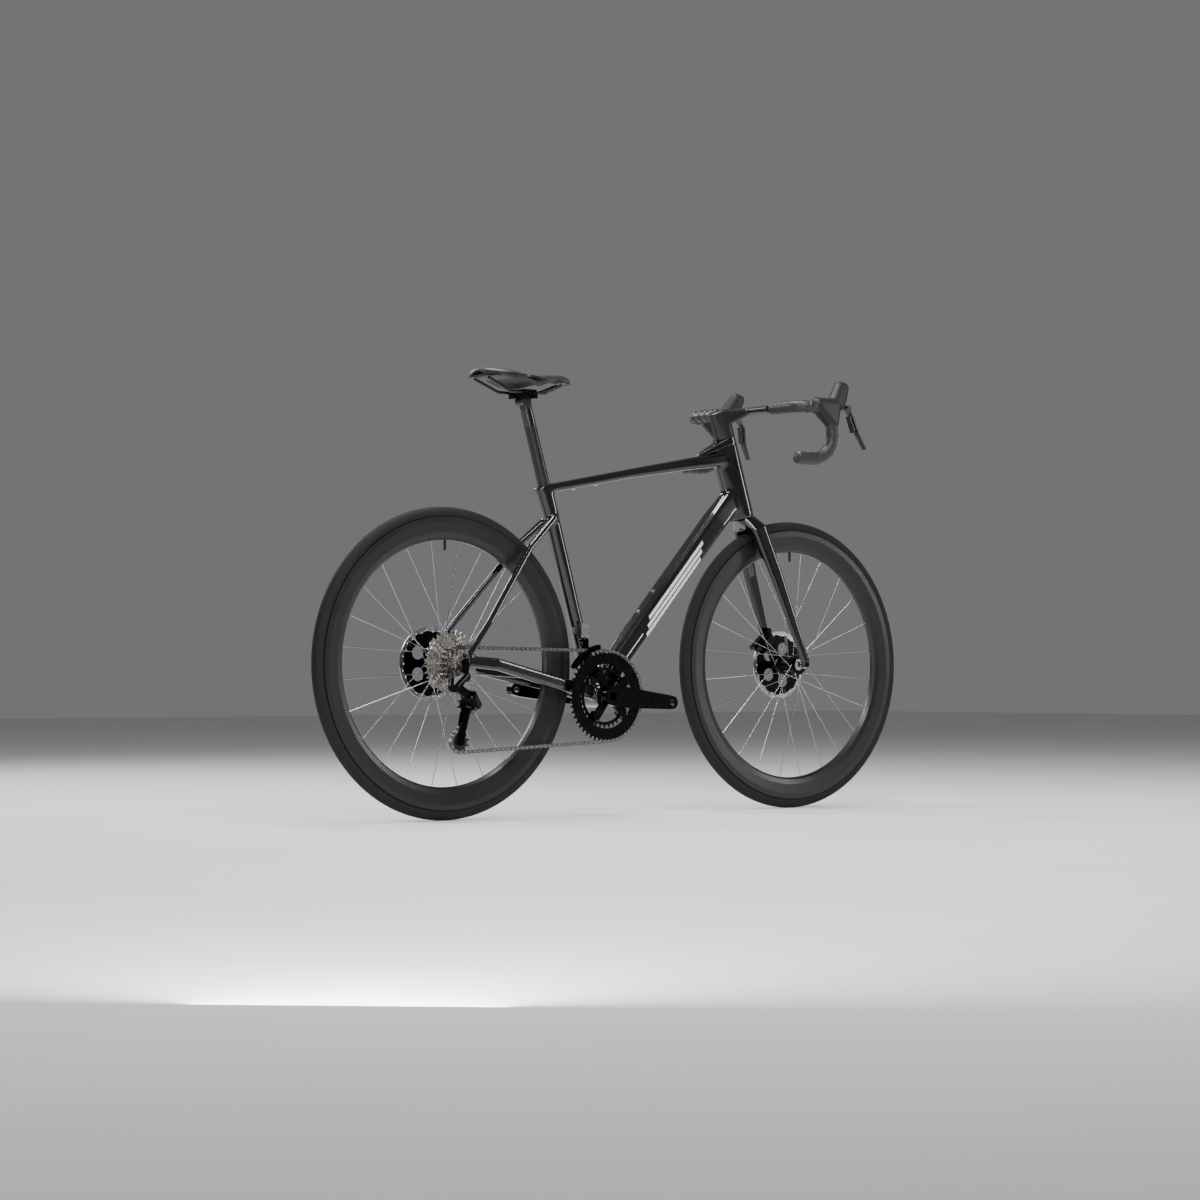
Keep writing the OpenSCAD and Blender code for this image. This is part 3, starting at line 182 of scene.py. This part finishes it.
def rubber(name, colour, rough, grain, depth, ribs=None):
    n = Nodes(name)
    n.set(Specular_IOR_Level=0.22)
    base = n.noise(grain, 6, 0.65)
    dark = tuple(c * 0.7 for c in colour)
    n.ramp(base, "Fac", [(0.3, dark), (0.75, colour)], "Base Color")
    n.ramp(base, "Fac", [(0.2, (rough * 0.9,)), (0.85, (min(1, rough * 1.12),))], "Roughness")
    first = n.bump(base, "Fac", 0.35, depth)
    if ribs:
        place = n.place()
        wave = n.add("ShaderNodeTexWave")
        wave.bands_direction = ribs[0]
        wave.inputs["Scale"].default_value = ribs[1]
        n.link(place, "Object", wave, "Vector")
        n.bump(wave, "Fac", 0.3, ribs[2], first)
    return n.mat


def leather(name, colour, rough):
    n = Nodes(name)
    n.set(Specular_IOR_Level=0.42, Sheen_Weight=0.05)
    place = n.place()
    cells = n.add("ShaderNodeTexVoronoi")
    cells.inputs["Scale"].default_value = 620
    n.link(place, "Object", cells, "Vector")
    worn = n.noise(18, 5)
    n.ramp(worn, "Fac", [(0.3, tuple(c * 0.7 for c in colour)), (0.8, colour)], "Base Color")
    n.ramp(worn, "Fac", [(0.25, (rough * 0.88,)), (0.8, (min(1, rough * 1.15),))], "Roughness")
    n.bump(cells, "Distance", 0.35, 0.0004)
    return n.mat


def plastic(name, colour, rough):
    n = Nodes(name)
    n.set(Specular_IOR_Level=0.35)
    fine = n.noise(420, 3)
    n.ramp(fine, "Fac", [(0.3, tuple(c * 0.8 for c in colour)), (0.75, colour)], "Base Color")
    n.ramp(fine, "Fac", [(0.2, (rough * 0.85,)), (0.85, (rough * 1.2,))], "Roughness")
    n.bump(fine, "Fac", 0.08, 0.0001)
    return n.mat


GLOSS = gloss_carbon()
SATIN = satin_carbon()
BLACK = metal("black_alloy", (0.006, 0.006, 0.0065), (0.014, 0.014, 0.015), 0.3)
MECH = metal("mech_black", (0.005, 0.005, 0.0055), (0.012, 0.012, 0.013), 0.18)
SILVER = metal("bare_steel", (0.36, 0.36, 0.37), (0.52, 0.52, 0.53), 0.26)
SPOKE = metal("spoke_steel", (0.26, 0.26, 0.27), (0.38, 0.38, 0.39), 0.22, 90)
ROTOR = metal("rotor_steel", (0.4, 0.4, 0.4), (0.56, 0.56, 0.56), 0.24, 60)
CHAMPAGNE = metal("cassette_steel", (0.38, 0.355, 0.325), (0.54, 0.51, 0.475), 0.28)
BRONZE = metal("chain_steel", (0.13, 0.115, 0.1), (0.27, 0.245, 0.22), 0.28)
TYRE = rubber("tyre_rubber", (0.012, 0.012, 0.0125), 0.74, 260, 0.0003)
HOOD = rubber("hood_rubber", (0.022, 0.022, 0.023), 0.46, 420, 0.0002, ("Z", 60, 0.0003))
TAPE = leather("bar_wrap", (0.022, 0.022, 0.0225), 0.42)
SKIN = leather("saddle_skin", (0.017, 0.017, 0.0175), 0.4)
LEVER = plastic("black_plastic", (0.007, 0.007, 0.0075), 0.26)
PAD = plastic("pad_compound", (0.17, 0.125, 0.08), 0.7)
MARK = plastic("white_paint", (0.72, 0.72, 0.73), 0.3)
BY_SLOT = {
    "gloss_carbon": GLOSS, "satin_carbon": SATIN, "black_alloy": BLACK,
    "bare_steel": SILVER, "spoke_steel": SPOKE, "rotor_steel": ROTOR,
    "cassette_steel": CHAMPAGNE, "chain_steel": BRONZE, "tyre_rubber": TYRE,
    "butyl": TYRE, "hood_rubber": HOOD, "bar_wrap": TAPE, "saddle_skin": SKIN,
    "black_plastic": LEVER, "pad_compound": PAD,
}
MECH_NODES = ("rear_mech_base", "rear_mech_link", "rear_mech_knuckle", "rear_mech_cage",
              "front_mech_cage")

for part in frame["record"]["subparts"]:
    shown = NODES[part["node"]]
    shown.data.materials.clear()
    shown.data.materials.append(MECH if part["node"] in MECH_NODES else BY_SLOT[part["material_slot"]])



def finish_by_radius(node, centre, edge, inner, outer):
    """One finish inside a radius about a wheel's axle and another outside it."""
    data = NODES[node].data
    place = NODES[node].matrix_world
    data.materials.clear()
    data.materials.append(inner)
    data.materials.append(outer)
    for face in data.polygons:
        at = place @ face.center - centre
        face.material_index = int(math.hypot(at.x, at.z) > edge)


ROTOR_TRACK = 0.0655
finish_by_radius("front_rotor", FRONT, ROTOR_TRACK, BLACK, ROTOR)
finish_by_radius("rear_rotor", REAR, ROTOR_TRACK, BLACK, ROTOR)

# ---------------------------------------------------------------- mesh helpers


def build(name, mesh, material, body, replaces=(), smooth=True):
    """Makes a bmesh into a piece that rides on a body."""
    bmesh.ops.recalc_face_normals(mesh, faces=mesh.faces)
    data = bpy.data.meshes.new(name)
    mesh.to_mesh(data)
    mesh.free()
    piece = bpy.data.objects.new(name, data)
    COLLECTION.objects.link(piece)
    data.materials.append(material)
    for face in data.polygons:
        face.use_smooth = smooth
    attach(piece, body)
    if replaces:
        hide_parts(*replaces)
    return piece


def modifier(piece, kind, **values):
    made = piece.modifiers.new(kind.title(), kind)
    for key, value in values.items():
        setattr(made, key, value)
    return made


def skin(mesh, rings, closed=False, caps=True):
    """Faces between rings of points; each ring has the same count."""
    made = [[mesh.verts.new(p) for p in ring] for ring in rings]
    count = len(made[0])
    pairs = list(zip(made, made[1:])) + ([(made[-1], made[0])] if closed else [])
    for a, b in pairs:
        for i in range(count):
            k = (i + 1) % count
            mesh.faces.new((a[i], a[k], b[k], b[i]))
    if caps and not closed:
        mesh.faces.new(list(reversed(made[0])))
        mesh.faces.new(made[-1])
    return made


def circle_points(radius, count):
    return [(radius * math.cos(2 * math.pi * k / count), radius * math.sin(2 * math.pi * k / count))
            for k in range(count)]


# ---------------------------------------------------------------- tyres

TYRE_R = (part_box("front_tyre")[1].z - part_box("front_tyre")[0].z) / 2
TYRE_HALF = (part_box("front_tyre")[1].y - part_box("front_tyre")[0].y) / 2


def tyre(name, centre, body, node):
    """A slick casing with a centre tread, a step at each shoulder and fine angled cuts."""
    casing = TYRE_HALF
    ring_r = TYRE_R - casing
    low = math.radians(128)
    count = 40
    profile = []
    for k in range(count + 1):
        a = -low + 2 * low * k / count
        tread = 1.0 if abs(a) < math.radians(48) else 0.972
        profile.append((ring_r + casing * math.cos(a) * tread, casing * math.sin(a) * tread))
    profile += [(ring_r + (casing - 0.0022) * math.cos(a) * 0.97, (casing - 0.0022) * math.sin(a) * 0.97)
                for a in (low - 2 * low * k / 20 for k in range(21))]
    mesh = bmesh.new()
    steps = 256
    rings = []
    for s in range(steps):
        t = 2 * math.pi * s / steps
        ring = []
        for k, (r, y) in enumerate(profile):
            edge = 26 < abs(math.degrees(-low + 2 * low * k / count)) < 46 if k <= count else False
            cut = 0.0005 if edge and s % 4 == (0 if y > 0 else 2) else 0.0
            ring.append(centre + Vector(((r - cut) * math.cos(t), y, (r - cut) * math.sin(t))))
        rings.append(ring)
    skin(mesh, rings, closed=True)
    return build(name, mesh, TYRE, body, (node,))


tyre("front_tyre_cover", FRONT, "front_wheel", "front_tyre")
tyre("rear_tyre_cover", REAR, "rear_wheel", "rear_tyre")

# ---------------------------------------------------------------- saddle


def saddle():
    """A padded short saddle: dished along its middle, with a dropped skirt and a relief channel."""
    lo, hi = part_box("saddle_cover")
    length, top = hi.x - lo.x, hi.z
    mesh = bmesh.new()
    along, across = 40, 28
    half_max = (hi.y - lo.y) / 2

    def half(u):
        if u < 0.22:
            tail = max(0.0, 1 - ((0.22 - u) / 0.235) ** 2) ** 0.5
        else:
            tail = 1.0
        waist = 0.25 + 0.75 * math.cos(math.pi / 2 * min(1, max(0, (u - 0.3) / 0.5))) ** 2
        nose = max(0.0, 1 - max(0.0, (u - 0.86) / 0.14) ** 2) ** 0.5
        return max(0.004, half_max * tail * waist * nose)

    def crest(u):
        dip = 0.0085 * math.exp(-((u - 0.5) / 0.2) ** 2)
        fall = 0.0025 * u + 0.009 * max(0.0, (u - 0.84) / 0.16) ** 2
        return top - 0.0012 - dip - fall - 0.002 * max(0.0, (0.06 - u) / 0.06)

    rings = []
    for i in range(along + 1):
        u = 0.004 + 0.992 * i / along
        w, z = half(u), crest(u)
        wing = 0.014 * math.exp(-((u - 0.5) / 0.2) ** 2)
        ring, under = [], []
        for k in range(across + 1):
            v = -1 + 2 * k / across
            drop = 0.0105 * abs(v) ** 3.2 + wing * abs(v) ** 4
            channel = 0.0032 * math.exp(-((v * w) / 0.0075) ** 2) if 0.2 < u < 0.88 else 0.0
            ring.append(Vector((lo.x + u * length, v * w * (1 - 0.03 * abs(v) ** 6), z - drop - channel)))
            under.append(Vector((lo.x + u * length, v * w * 0.93, z - drop * 0.97 - channel - 0.0065)))
        rings.append(ring + under[::-2])
    skin(mesh, rings)
    piece = build("saddle_pad", mesh, SKIN, "saddle", ("saddle_cover",))
    modifier(piece, "SUBSURF", levels=1, render_levels=1)
    return piece


saddle()

# ---------------------------------------------------------------- seatpost

POST_R = 0.0136
BAND_LOW, BAND_HIGH = 0.625, 0.662  # along the seat tube's axis, from the bottom bracket
BAND_PROUD = 0.00015
BAND_EDGE = 0.0004


def seatpost_band():
    """A gloss band round the post, below its head, with a chamfer at each edge."""
    radius = POST_R + BAND_PROUD
    side = SEAT.cross(LEFT)
    outline = ((BAND_LOW, radius - BAND_EDGE), (BAND_LOW + BAND_EDGE, radius),
               (BAND_HIGH - BAND_EDGE, radius), (BAND_HIGH, radius - BAND_EDGE))
    mesh = bmesh.new()
    skin(mesh, [[BB + SEAT * along + LEFT * u + side * v for u, v in circle_points(r, 48)]
                for along, r in outline])
    piece = build("seatpost_band", mesh, GLOSS, "seatpost")
    modifier(piece, "EDGE_SPLIT", split_angle=math.radians(35))
    return piece


seatpost_band()

# ---------------------------------------------------------------- bar tape

BAR_LO, BAR_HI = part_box("handlebar")
BAR_R = 0.012
TAPE_R = BAR_R + 0.0025
CORNER_R = 0.032  # from the top of the bar into the hook
TAPE_START = 0.1  # from the middle plane
TAPE_TAIL = 0.049  # straight length behind the hook
TURN = 0.021  # one turn of the tape along the bar
TAPE_STEP = 0.0009
LAP = 0.0017  # how far the tape falls from its lapped edge to the next turn
BEAD = 0.0005  # raised edge of each turn


def bar_path(side):
    """Middle of one half of the bar, from the start of its tape to the end of the drop."""
    top = BAR_HI.z - BAR_R
    hook = (top - BAR_LO.z - BAR_R) / 2
    out = BAR_HI.y - BAR_R
    corner_x = BAR_HI.x - BAR_R - hook
    bend = out - CORNER_R
    path = [Vector((corner_x - CORNER_R, TAPE_START + (bend - TAPE_START) * k / 20, top))
            for k in range(20)]
    for k in range(16):
        a = math.pi / 2 * k / 16
        path.append(Vector((corner_x - CORNER_R * math.cos(a), bend + CORNER_R * math.sin(a), top)))
    for k in range(61):
        a = math.pi / 2 - math.pi * k / 60
        path.append(Vector((corner_x + hook * math.cos(a), out, top - hook + hook * math.sin(a))))
    path += [Vector((corner_x - TAPE_TAIL * k / 12, out, top - 2 * hook)) for k in range(1, 13)]
    return [Vector((p.x, p.y * side, p.z)) for p in path]


def even_points(path, step):
    """Points an even step apart along a path, each with its distance from the start."""
    points, travelled = [(0.0, path[0])], 0.0
    for a, b in zip(path, path[1:]):
        length = (b - a).length
        while points[-1][0] + step <= travelled + length:
            s = points[-1][0] + step
            points.append((s, a.lerp(b, (s - travelled) / length)))
        travelled += length
    return points


def wound_tape():
    """Tape wound over the bar on both sides, each turn lapping the one before, with a plug in each end."""
    mesh = bmesh.new()
    around = 36
    for side in (1, -1):
        points = even_points(bar_path(side), TAPE_STEP)
        up = Vector((0, 0, 1))
        rings = []
        for i, (s, p) in enumerate(points):
            way = (points[min(i + 1, len(points) - 1)][1] - points[max(i - 1, 0)][1]).normalized()
            up = (up - up.dot(way) * way).normalized()
            across = way.cross(up)
            ring = []
            for k in range(around):
                a = 2 * math.pi * k / around
                share = (s / TURN + side * k / around) % 1.0
                bead = BEAD * math.exp(-((share - 0.07) / 0.05) ** 2)
                r = TAPE_R + 0.0005 - LAP * share ** 1.6 + bead
                ring.append(p + across * (r * math.cos(a)) + up * (r * math.sin(a)))
            rings.append(ring)
        end, back = points[-1][1], (points[-1][1] - points[-2][1]).normalized()
        across = back.cross(up)
        for step, r in ((0.0006, TAPE_R - 0.0012), (0.0022, TAPE_R - 0.0016), (0.0034, TAPE_R - 0.0042)):
            rings.append([end + back * step + across * (r * math.cos(2 * math.pi * k / around))
                          + up * (r * math.sin(2 * math.pi * k / around)) for k in range(around)])
        skin(mesh, rings)
    return build("wound_tape", mesh, TAPE, "fork", ("bar_tape",))


wound_tape()

# ---------------------------------------------------------------- blended shells


def ream(shape, place, axis, radius, low, high):
    """Opens a bore: its wall, between two distances along the axis, is put at one radius."""
    wall = []
    for vertex in shape.vertices:
        along = (vertex.co - place).dot(axis)
        out = vertex.co - place - axis * along
        if low < along < high and out.length < radius + 0.0012:
            vertex.co = place + axis * along + out.normalized() * radius
            wall.append(vertex.index)
    return set(wall)


def blended(name, nodes, voxel, material, body, soften, near=(), reach=0.0, bore=None):
    """Copies of CAD nodes joined into one skin, softened most near the places given.

    near and reach are those places and how far each softens; bore is what ream() takes after the mesh.
    """
    mesh = bmesh.new()
    for node in nodes:
        copy = NODES[node].data.copy()
        copy.transform(NODES[node].matrix_world)
        mesh.from_mesh(copy)
        bpy.data.meshes.remove(copy)
    piece = build(name, mesh, material, body, nodes)
    modifier(piece, "REMESH", mode="VOXEL", voxel_size=voxel, use_smooth_shade=True)
    bpy.context.view_layer.update()
    shape = bpy.data.meshes.new_from_object(piece.evaluated_get(bpy.context.evaluated_depsgraph_get()))
    piece.modifiers.clear()
    piece.data = shape
    shape.name = name
    if not shape.materials:
        shape.materials.append(material)
    for face in shape.polygons:
        face.use_smooth = True
    wall = ream(shape, *bore) if bore else set()
    outside = piece.vertex_groups.new(name="outside")
    outside.add([v.index for v in shape.vertices if v.index not in wall], 1.0, "REPLACE")
    if near:
        joins = piece.vertex_groups.new(name="joins")
        for vertex in shape.vertices:
            far = min((vertex.co - p).length for p in near)
            if far < reach and vertex.index not in wall:
                joins.add([vertex.index], 1 - far / reach, "REPLACE")
        modifier(piece, "SMOOTH", factor=0.6, iterations=soften, vertex_group="joins")
    modifier(piece, "SMOOTH", factor=0.5, iterations=4 if near else soften, vertex_group="outside")
    return piece


blended("moulded_hoods", ("brake_hoods",), 0.0012, HOOD, "fork", 14)

HEAD_JOIN = CROWN + STEER * 0.075
TOP_JOIN = CROWN + STEER * 0.15
SEAT_TOP = BB + SEAT * ((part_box("seat_tube")[1].z - BB.z) / SEAT.z)
FRAME_SHELL = blended(
    "frame_shell", ("head_tube", "top_tube", "down_tube", "seat_tube", "seatstays", "chainstays"),
    0.0022, GLOSS, "frame", 45,
    (HEAD_JOIN, HEAD_JOIN - Vector((0.035, 0, 0.02)), TOP_JOIN - Vector((0.03, 0, 0)),
     SEAT_TOP - SEAT * 0.035, SEAT_TOP - SEAT * 0.13, BB + Vector((0.02, 0, 0.03))), 0.058,
    bore=(BB, SEAT, POST_R + 0.0005, 0.06, 0.6))
blended("fork_shell", ("fork",), 0.0016, GLOSS, "fork", 40,
        (CROWN - STEER * 0.02,), 0.062)
BAR_MIDDLE = Vector((BAR_LO.x + 0.02, 0, BAR_HI.z - BAR_R))
blended("cockpit_shell", ("stem", "handlebar"), 0.0013, SATIN, "fork", 40,
        (BAR_MIDDLE,), 0.07)

# ---------------------------------------------------------------- chain

PITCH = 0.0127
CHAIN_Y = middle("guide_wheel").y
CHAIN_LOOP = [  # place, teeth, way round; seen from the right, +1 is anticlockwise
    (BB, 50, 1),
    (Vector(joint("cassette_spin")["pos_m"]), 17, 1),
    (Vector(joint("guide_wheel_spin")["pos_m"]), 11, -1),
    (Vector(joint("tension_wheel_spin")["pos_m"]), 11, 1),
]
LINKS = 114


def pitch_radius(teeth):
    return PITCH / 2 / math.sin(math.pi / teeth)


def chain_loop():
    """Points along the chain's loop: arcs on the wheels and straight runs between them."""
    wheels = [((c.x, c.z), pitch_radius(t) * way) for c, t, way in CHAIN_LOOP]
    runs = []
    for (a, ra), (b, rb) in zip(wheels, wheels[1:] + wheels[:1]):
        dx, dz = b[0] - a[0], b[1] - a[1]
        lean = math.atan2(dz, dx) - math.asin((rb - ra) / math.hypot(dx, dz))
        runs.append(lean)
    path = []
    for k, (centre, r) in enumerate(wheels):
        arrive, leave = runs[k - 1], runs[k]
        sweep_by = (leave - arrive) % (2 * math.pi) if r > 0 else -((arrive - leave) % (2 * math.pi))
        for i in range(41):
            lean = arrive + sweep_by * i / 40
            path.append(Vector((centre[0] + r * math.sin(lean), CHAIN_Y, centre[1] - r * math.cos(lean))))
    return path + path[:1]


def plate(mesh, a, b, y, thick, end_r, waist, index):
    """A figure-of-eight side plate from pin a to pin b."""
    way = (b - a).normalized()
    up = Vector((-way.z, 0, way.x))
    length = (b - a).length
    outline = []
    for middle_x, start in ((length, -80), (0.0, 100)):
        for k in range(9):
            t = math.radians(start + 20 * k)
            outline.append((middle_x + end_r * math.cos(t), end_r * math.sin(t)))
        outline.append((length / 2, waist if start < 0 else -waist))
    faces = []
    for side in (-1, 1):
        ring = [mesh.verts.new(a + way * u + up * v + LEFT * (y + side * thick / 2)) for u, v in outline]
        faces.append(ring)
    made = [mesh.faces.new(faces[1]), mesh.faces.new(list(reversed(faces[0])))]
    count = len(outline)
    for i in range(count):
        k = (i + 1) % count
        made.append(mesh.faces.new((faces[0][i], faces[0][k], faces[1][k], faces[1][i])))
    for face in made:
        face.material_index = index


def barrel(mesh, at, radius, half, index, sides=14):
    rings = [[at + LEFT * y + Vector((u, 0, v)) for u, v in circle_points(radius, sides)]
             for y in (-half, half)]
    made = skin(mesh, rings)
    for ring in made:
        for vertex in ring:
            for face in vertex.link_faces:
                face.material_index = index


def chain():
    """Every link by itself: inner and outer plates in turn, rollers and pin heads."""
    path = chain_loop()
    total = sum((b - a).length for a, b in zip(path, path[1:]))
    pins = [p for _, p in even_points(path, total / LINKS * 0.999999)][:LINKS]
    mesh = bmesh.new()
    for k, pin in enumerate(pins):
        ahead = pins[(k + 1) % LINKS]
        outer = k % 2
        for side in (-1, 1):
            plate(mesh, pin, ahead, side * (0.00255 if outer else 0.0019), 0.00062,
                  0.0041 if outer else 0.0043, 0.0028, 0)
        barrel(mesh, pin, 0.0037, 0.0013, 1)
        barrel(mesh, pin, 0.0017, 0.0031, 1)
    piece = build("linked_chain", mesh, BRONZE, "frame", ("chain",), smooth=False)
    piece.data.materials.append(SILVER)
    return piece


chain()

# ---------------------------------------------------------------- painted stripes on the down tube

DOWN_LOW = BB
DOWN_HIGH = CROWN + STEER * 0.062


def on_down_tube(along, across, side):
    """The tube's skin at a distance from the bottom bracket, and across the tube, seen from one side."""
    way = (DOWN_HIGH - DOWN_LOW).normalized()
    up = Vector((-way.z, 0, way.x))
    tube = FRAME_SHELL.evaluated_get(bpy.context.evaluated_depsgraph_get())
    start = DOWN_LOW + way * along + up * across + LEFT * (side * 0.2)
    back = tube.matrix_world.inverted()
    hit, at, normal, _ = tube.ray_cast(back @ start, back.to_3x3() @ (LEFT * -side))
    return tube.matrix_world @ (at + normal * 0.00025) if hit else None


def stripe(mesh, side, low, high, bottom, top, slant):
    """A painted bar with slanted ends, lying on the tube."""
    steps, rows = 60, 4
    grid = []
    for i in range(steps + 1):
        row = []
        for j in range(rows + 1):
            across = bottom + (top - bottom) * j / rows
            row.append(on_down_tube(low + (high - low) * i / steps + across * slant, across, side))
        grid.append(row)
    made = [[mesh.verts.new(p) if p else None for p in row] for row in grid]
    for a, b in zip(made, made[1:]):
        for j in range(rows):
            corners = (a[j], a[j + 1], b[j + 1], b[j])
            if all(corners):
                mesh.faces.new(corners)


def stripes():
    mesh = bmesh.new()
    for side in (-1, 1):
        stripe(mesh, side, 0.118, 0.19, -0.0012, 0.0012, 0.0)
        for low, high, middle_at in ((0.2, 0.44, -0.0105), (0.212, 0.452, 0.0), (0.224, 0.464, 0.0105)):
            stripe(mesh, side, low, high, middle_at - 0.0038, middle_at + 0.0038, 0.45)
    piece = build("down_tube_stripes", mesh, MARK, "frame")
    modifier(piece, "SOLIDIFY", thickness=0.0002, offset=0.0)
    return piece


stripes()

# ---------------------------------------------------------------- floor, lights and camera

bpy.ops.mesh.primitive_plane_add(size=30, location=(0, 0, 0))
floor = bpy.context.object
floor.name = "floor"
paper = Nodes("pale_floor")
paper.set(Roughness=0.75)
mottle = paper.noise(2.2, 3)
paper.ramp(mottle, "Fac", [(0.3, (0.76, 0.76, 0.77)), (0.7, (0.8, 0.8, 0.81))], "Base Color")
floor.data.materials.append(paper.mat)

world = bpy.data.worlds.new("studio") if not bpy.context.scene.world else bpy.context.scene.world
bpy.context.scene.world = world
world.use_nodes = True
world.node_tree.nodes["Background"].inputs["Color"].default_value = (0.86, 0.87, 0.9, 1)
world.node_tree.nodes["Background"].inputs["Strength"].default_value = 0.2


def soft_light(name, place, aim, size, power, tint=(1, 1, 1)):
    data = bpy.data.lights.new(name, "AREA")
    data.shape = "RECTANGLE"
    data.size, data.size_y = size
    data.energy = power
    data.color = tint
    lamp = bpy.data.objects.new(name, data)
    COLLECTION.objects.link(lamp)
    lamp.location = place
    lamp.rotation_mode = "QUATERNION"
    lamp.rotation_quaternion = (Vector(aim) - Vector(place)).to_track_quat("-Z", "Y")


soft_light("key", (-1.6, -3.4, 3.1), (0, 0, 0.5), (2.6, 0.5), 120)
soft_light("fill", (3.2, -2.2, 1.4), (0, 0, 0.5), (0.5, 1.8), 34)
soft_light("top", (-0.2, 0.0, 3.4), (0, 0, 0.6), (3.2, 0.5), 150)
soft_light("back", (-1.2, 3.3, 2.4), (0, 0, 0.7), (2.8, 0.8), 90)
soft_light("low_edge", (-2.6, -2.8, 0.7), (0, 0, 0.5), (0.3, 1.4), 26)

camera_data = bpy.data.cameras.new("camera")
camera = bpy.data.objects.new("camera", camera_data)
COLLECTION.objects.link(camera)
AZIMUTH, ELEVATION = math.radians(-38.49), math.radians(-1.56)
AIM = Vector((-0.0735, 0, 0.4833))
DISTANCE = 6.516
AWAY = Vector((math.sin(AZIMUTH) * math.cos(ELEVATION), -math.cos(AZIMUTH) * math.cos(ELEVATION),
               math.sin(ELEVATION)))
camera.location = AIM + AWAY * DISTANCE
camera.rotation_mode = "QUATERNION"
camera.rotation_quaternion = (-AWAY).to_track_quat("-Z", "Y")
camera_data.lens = 86.7
camera_data.sensor_width = 36
bpy.context.scene.camera = camera
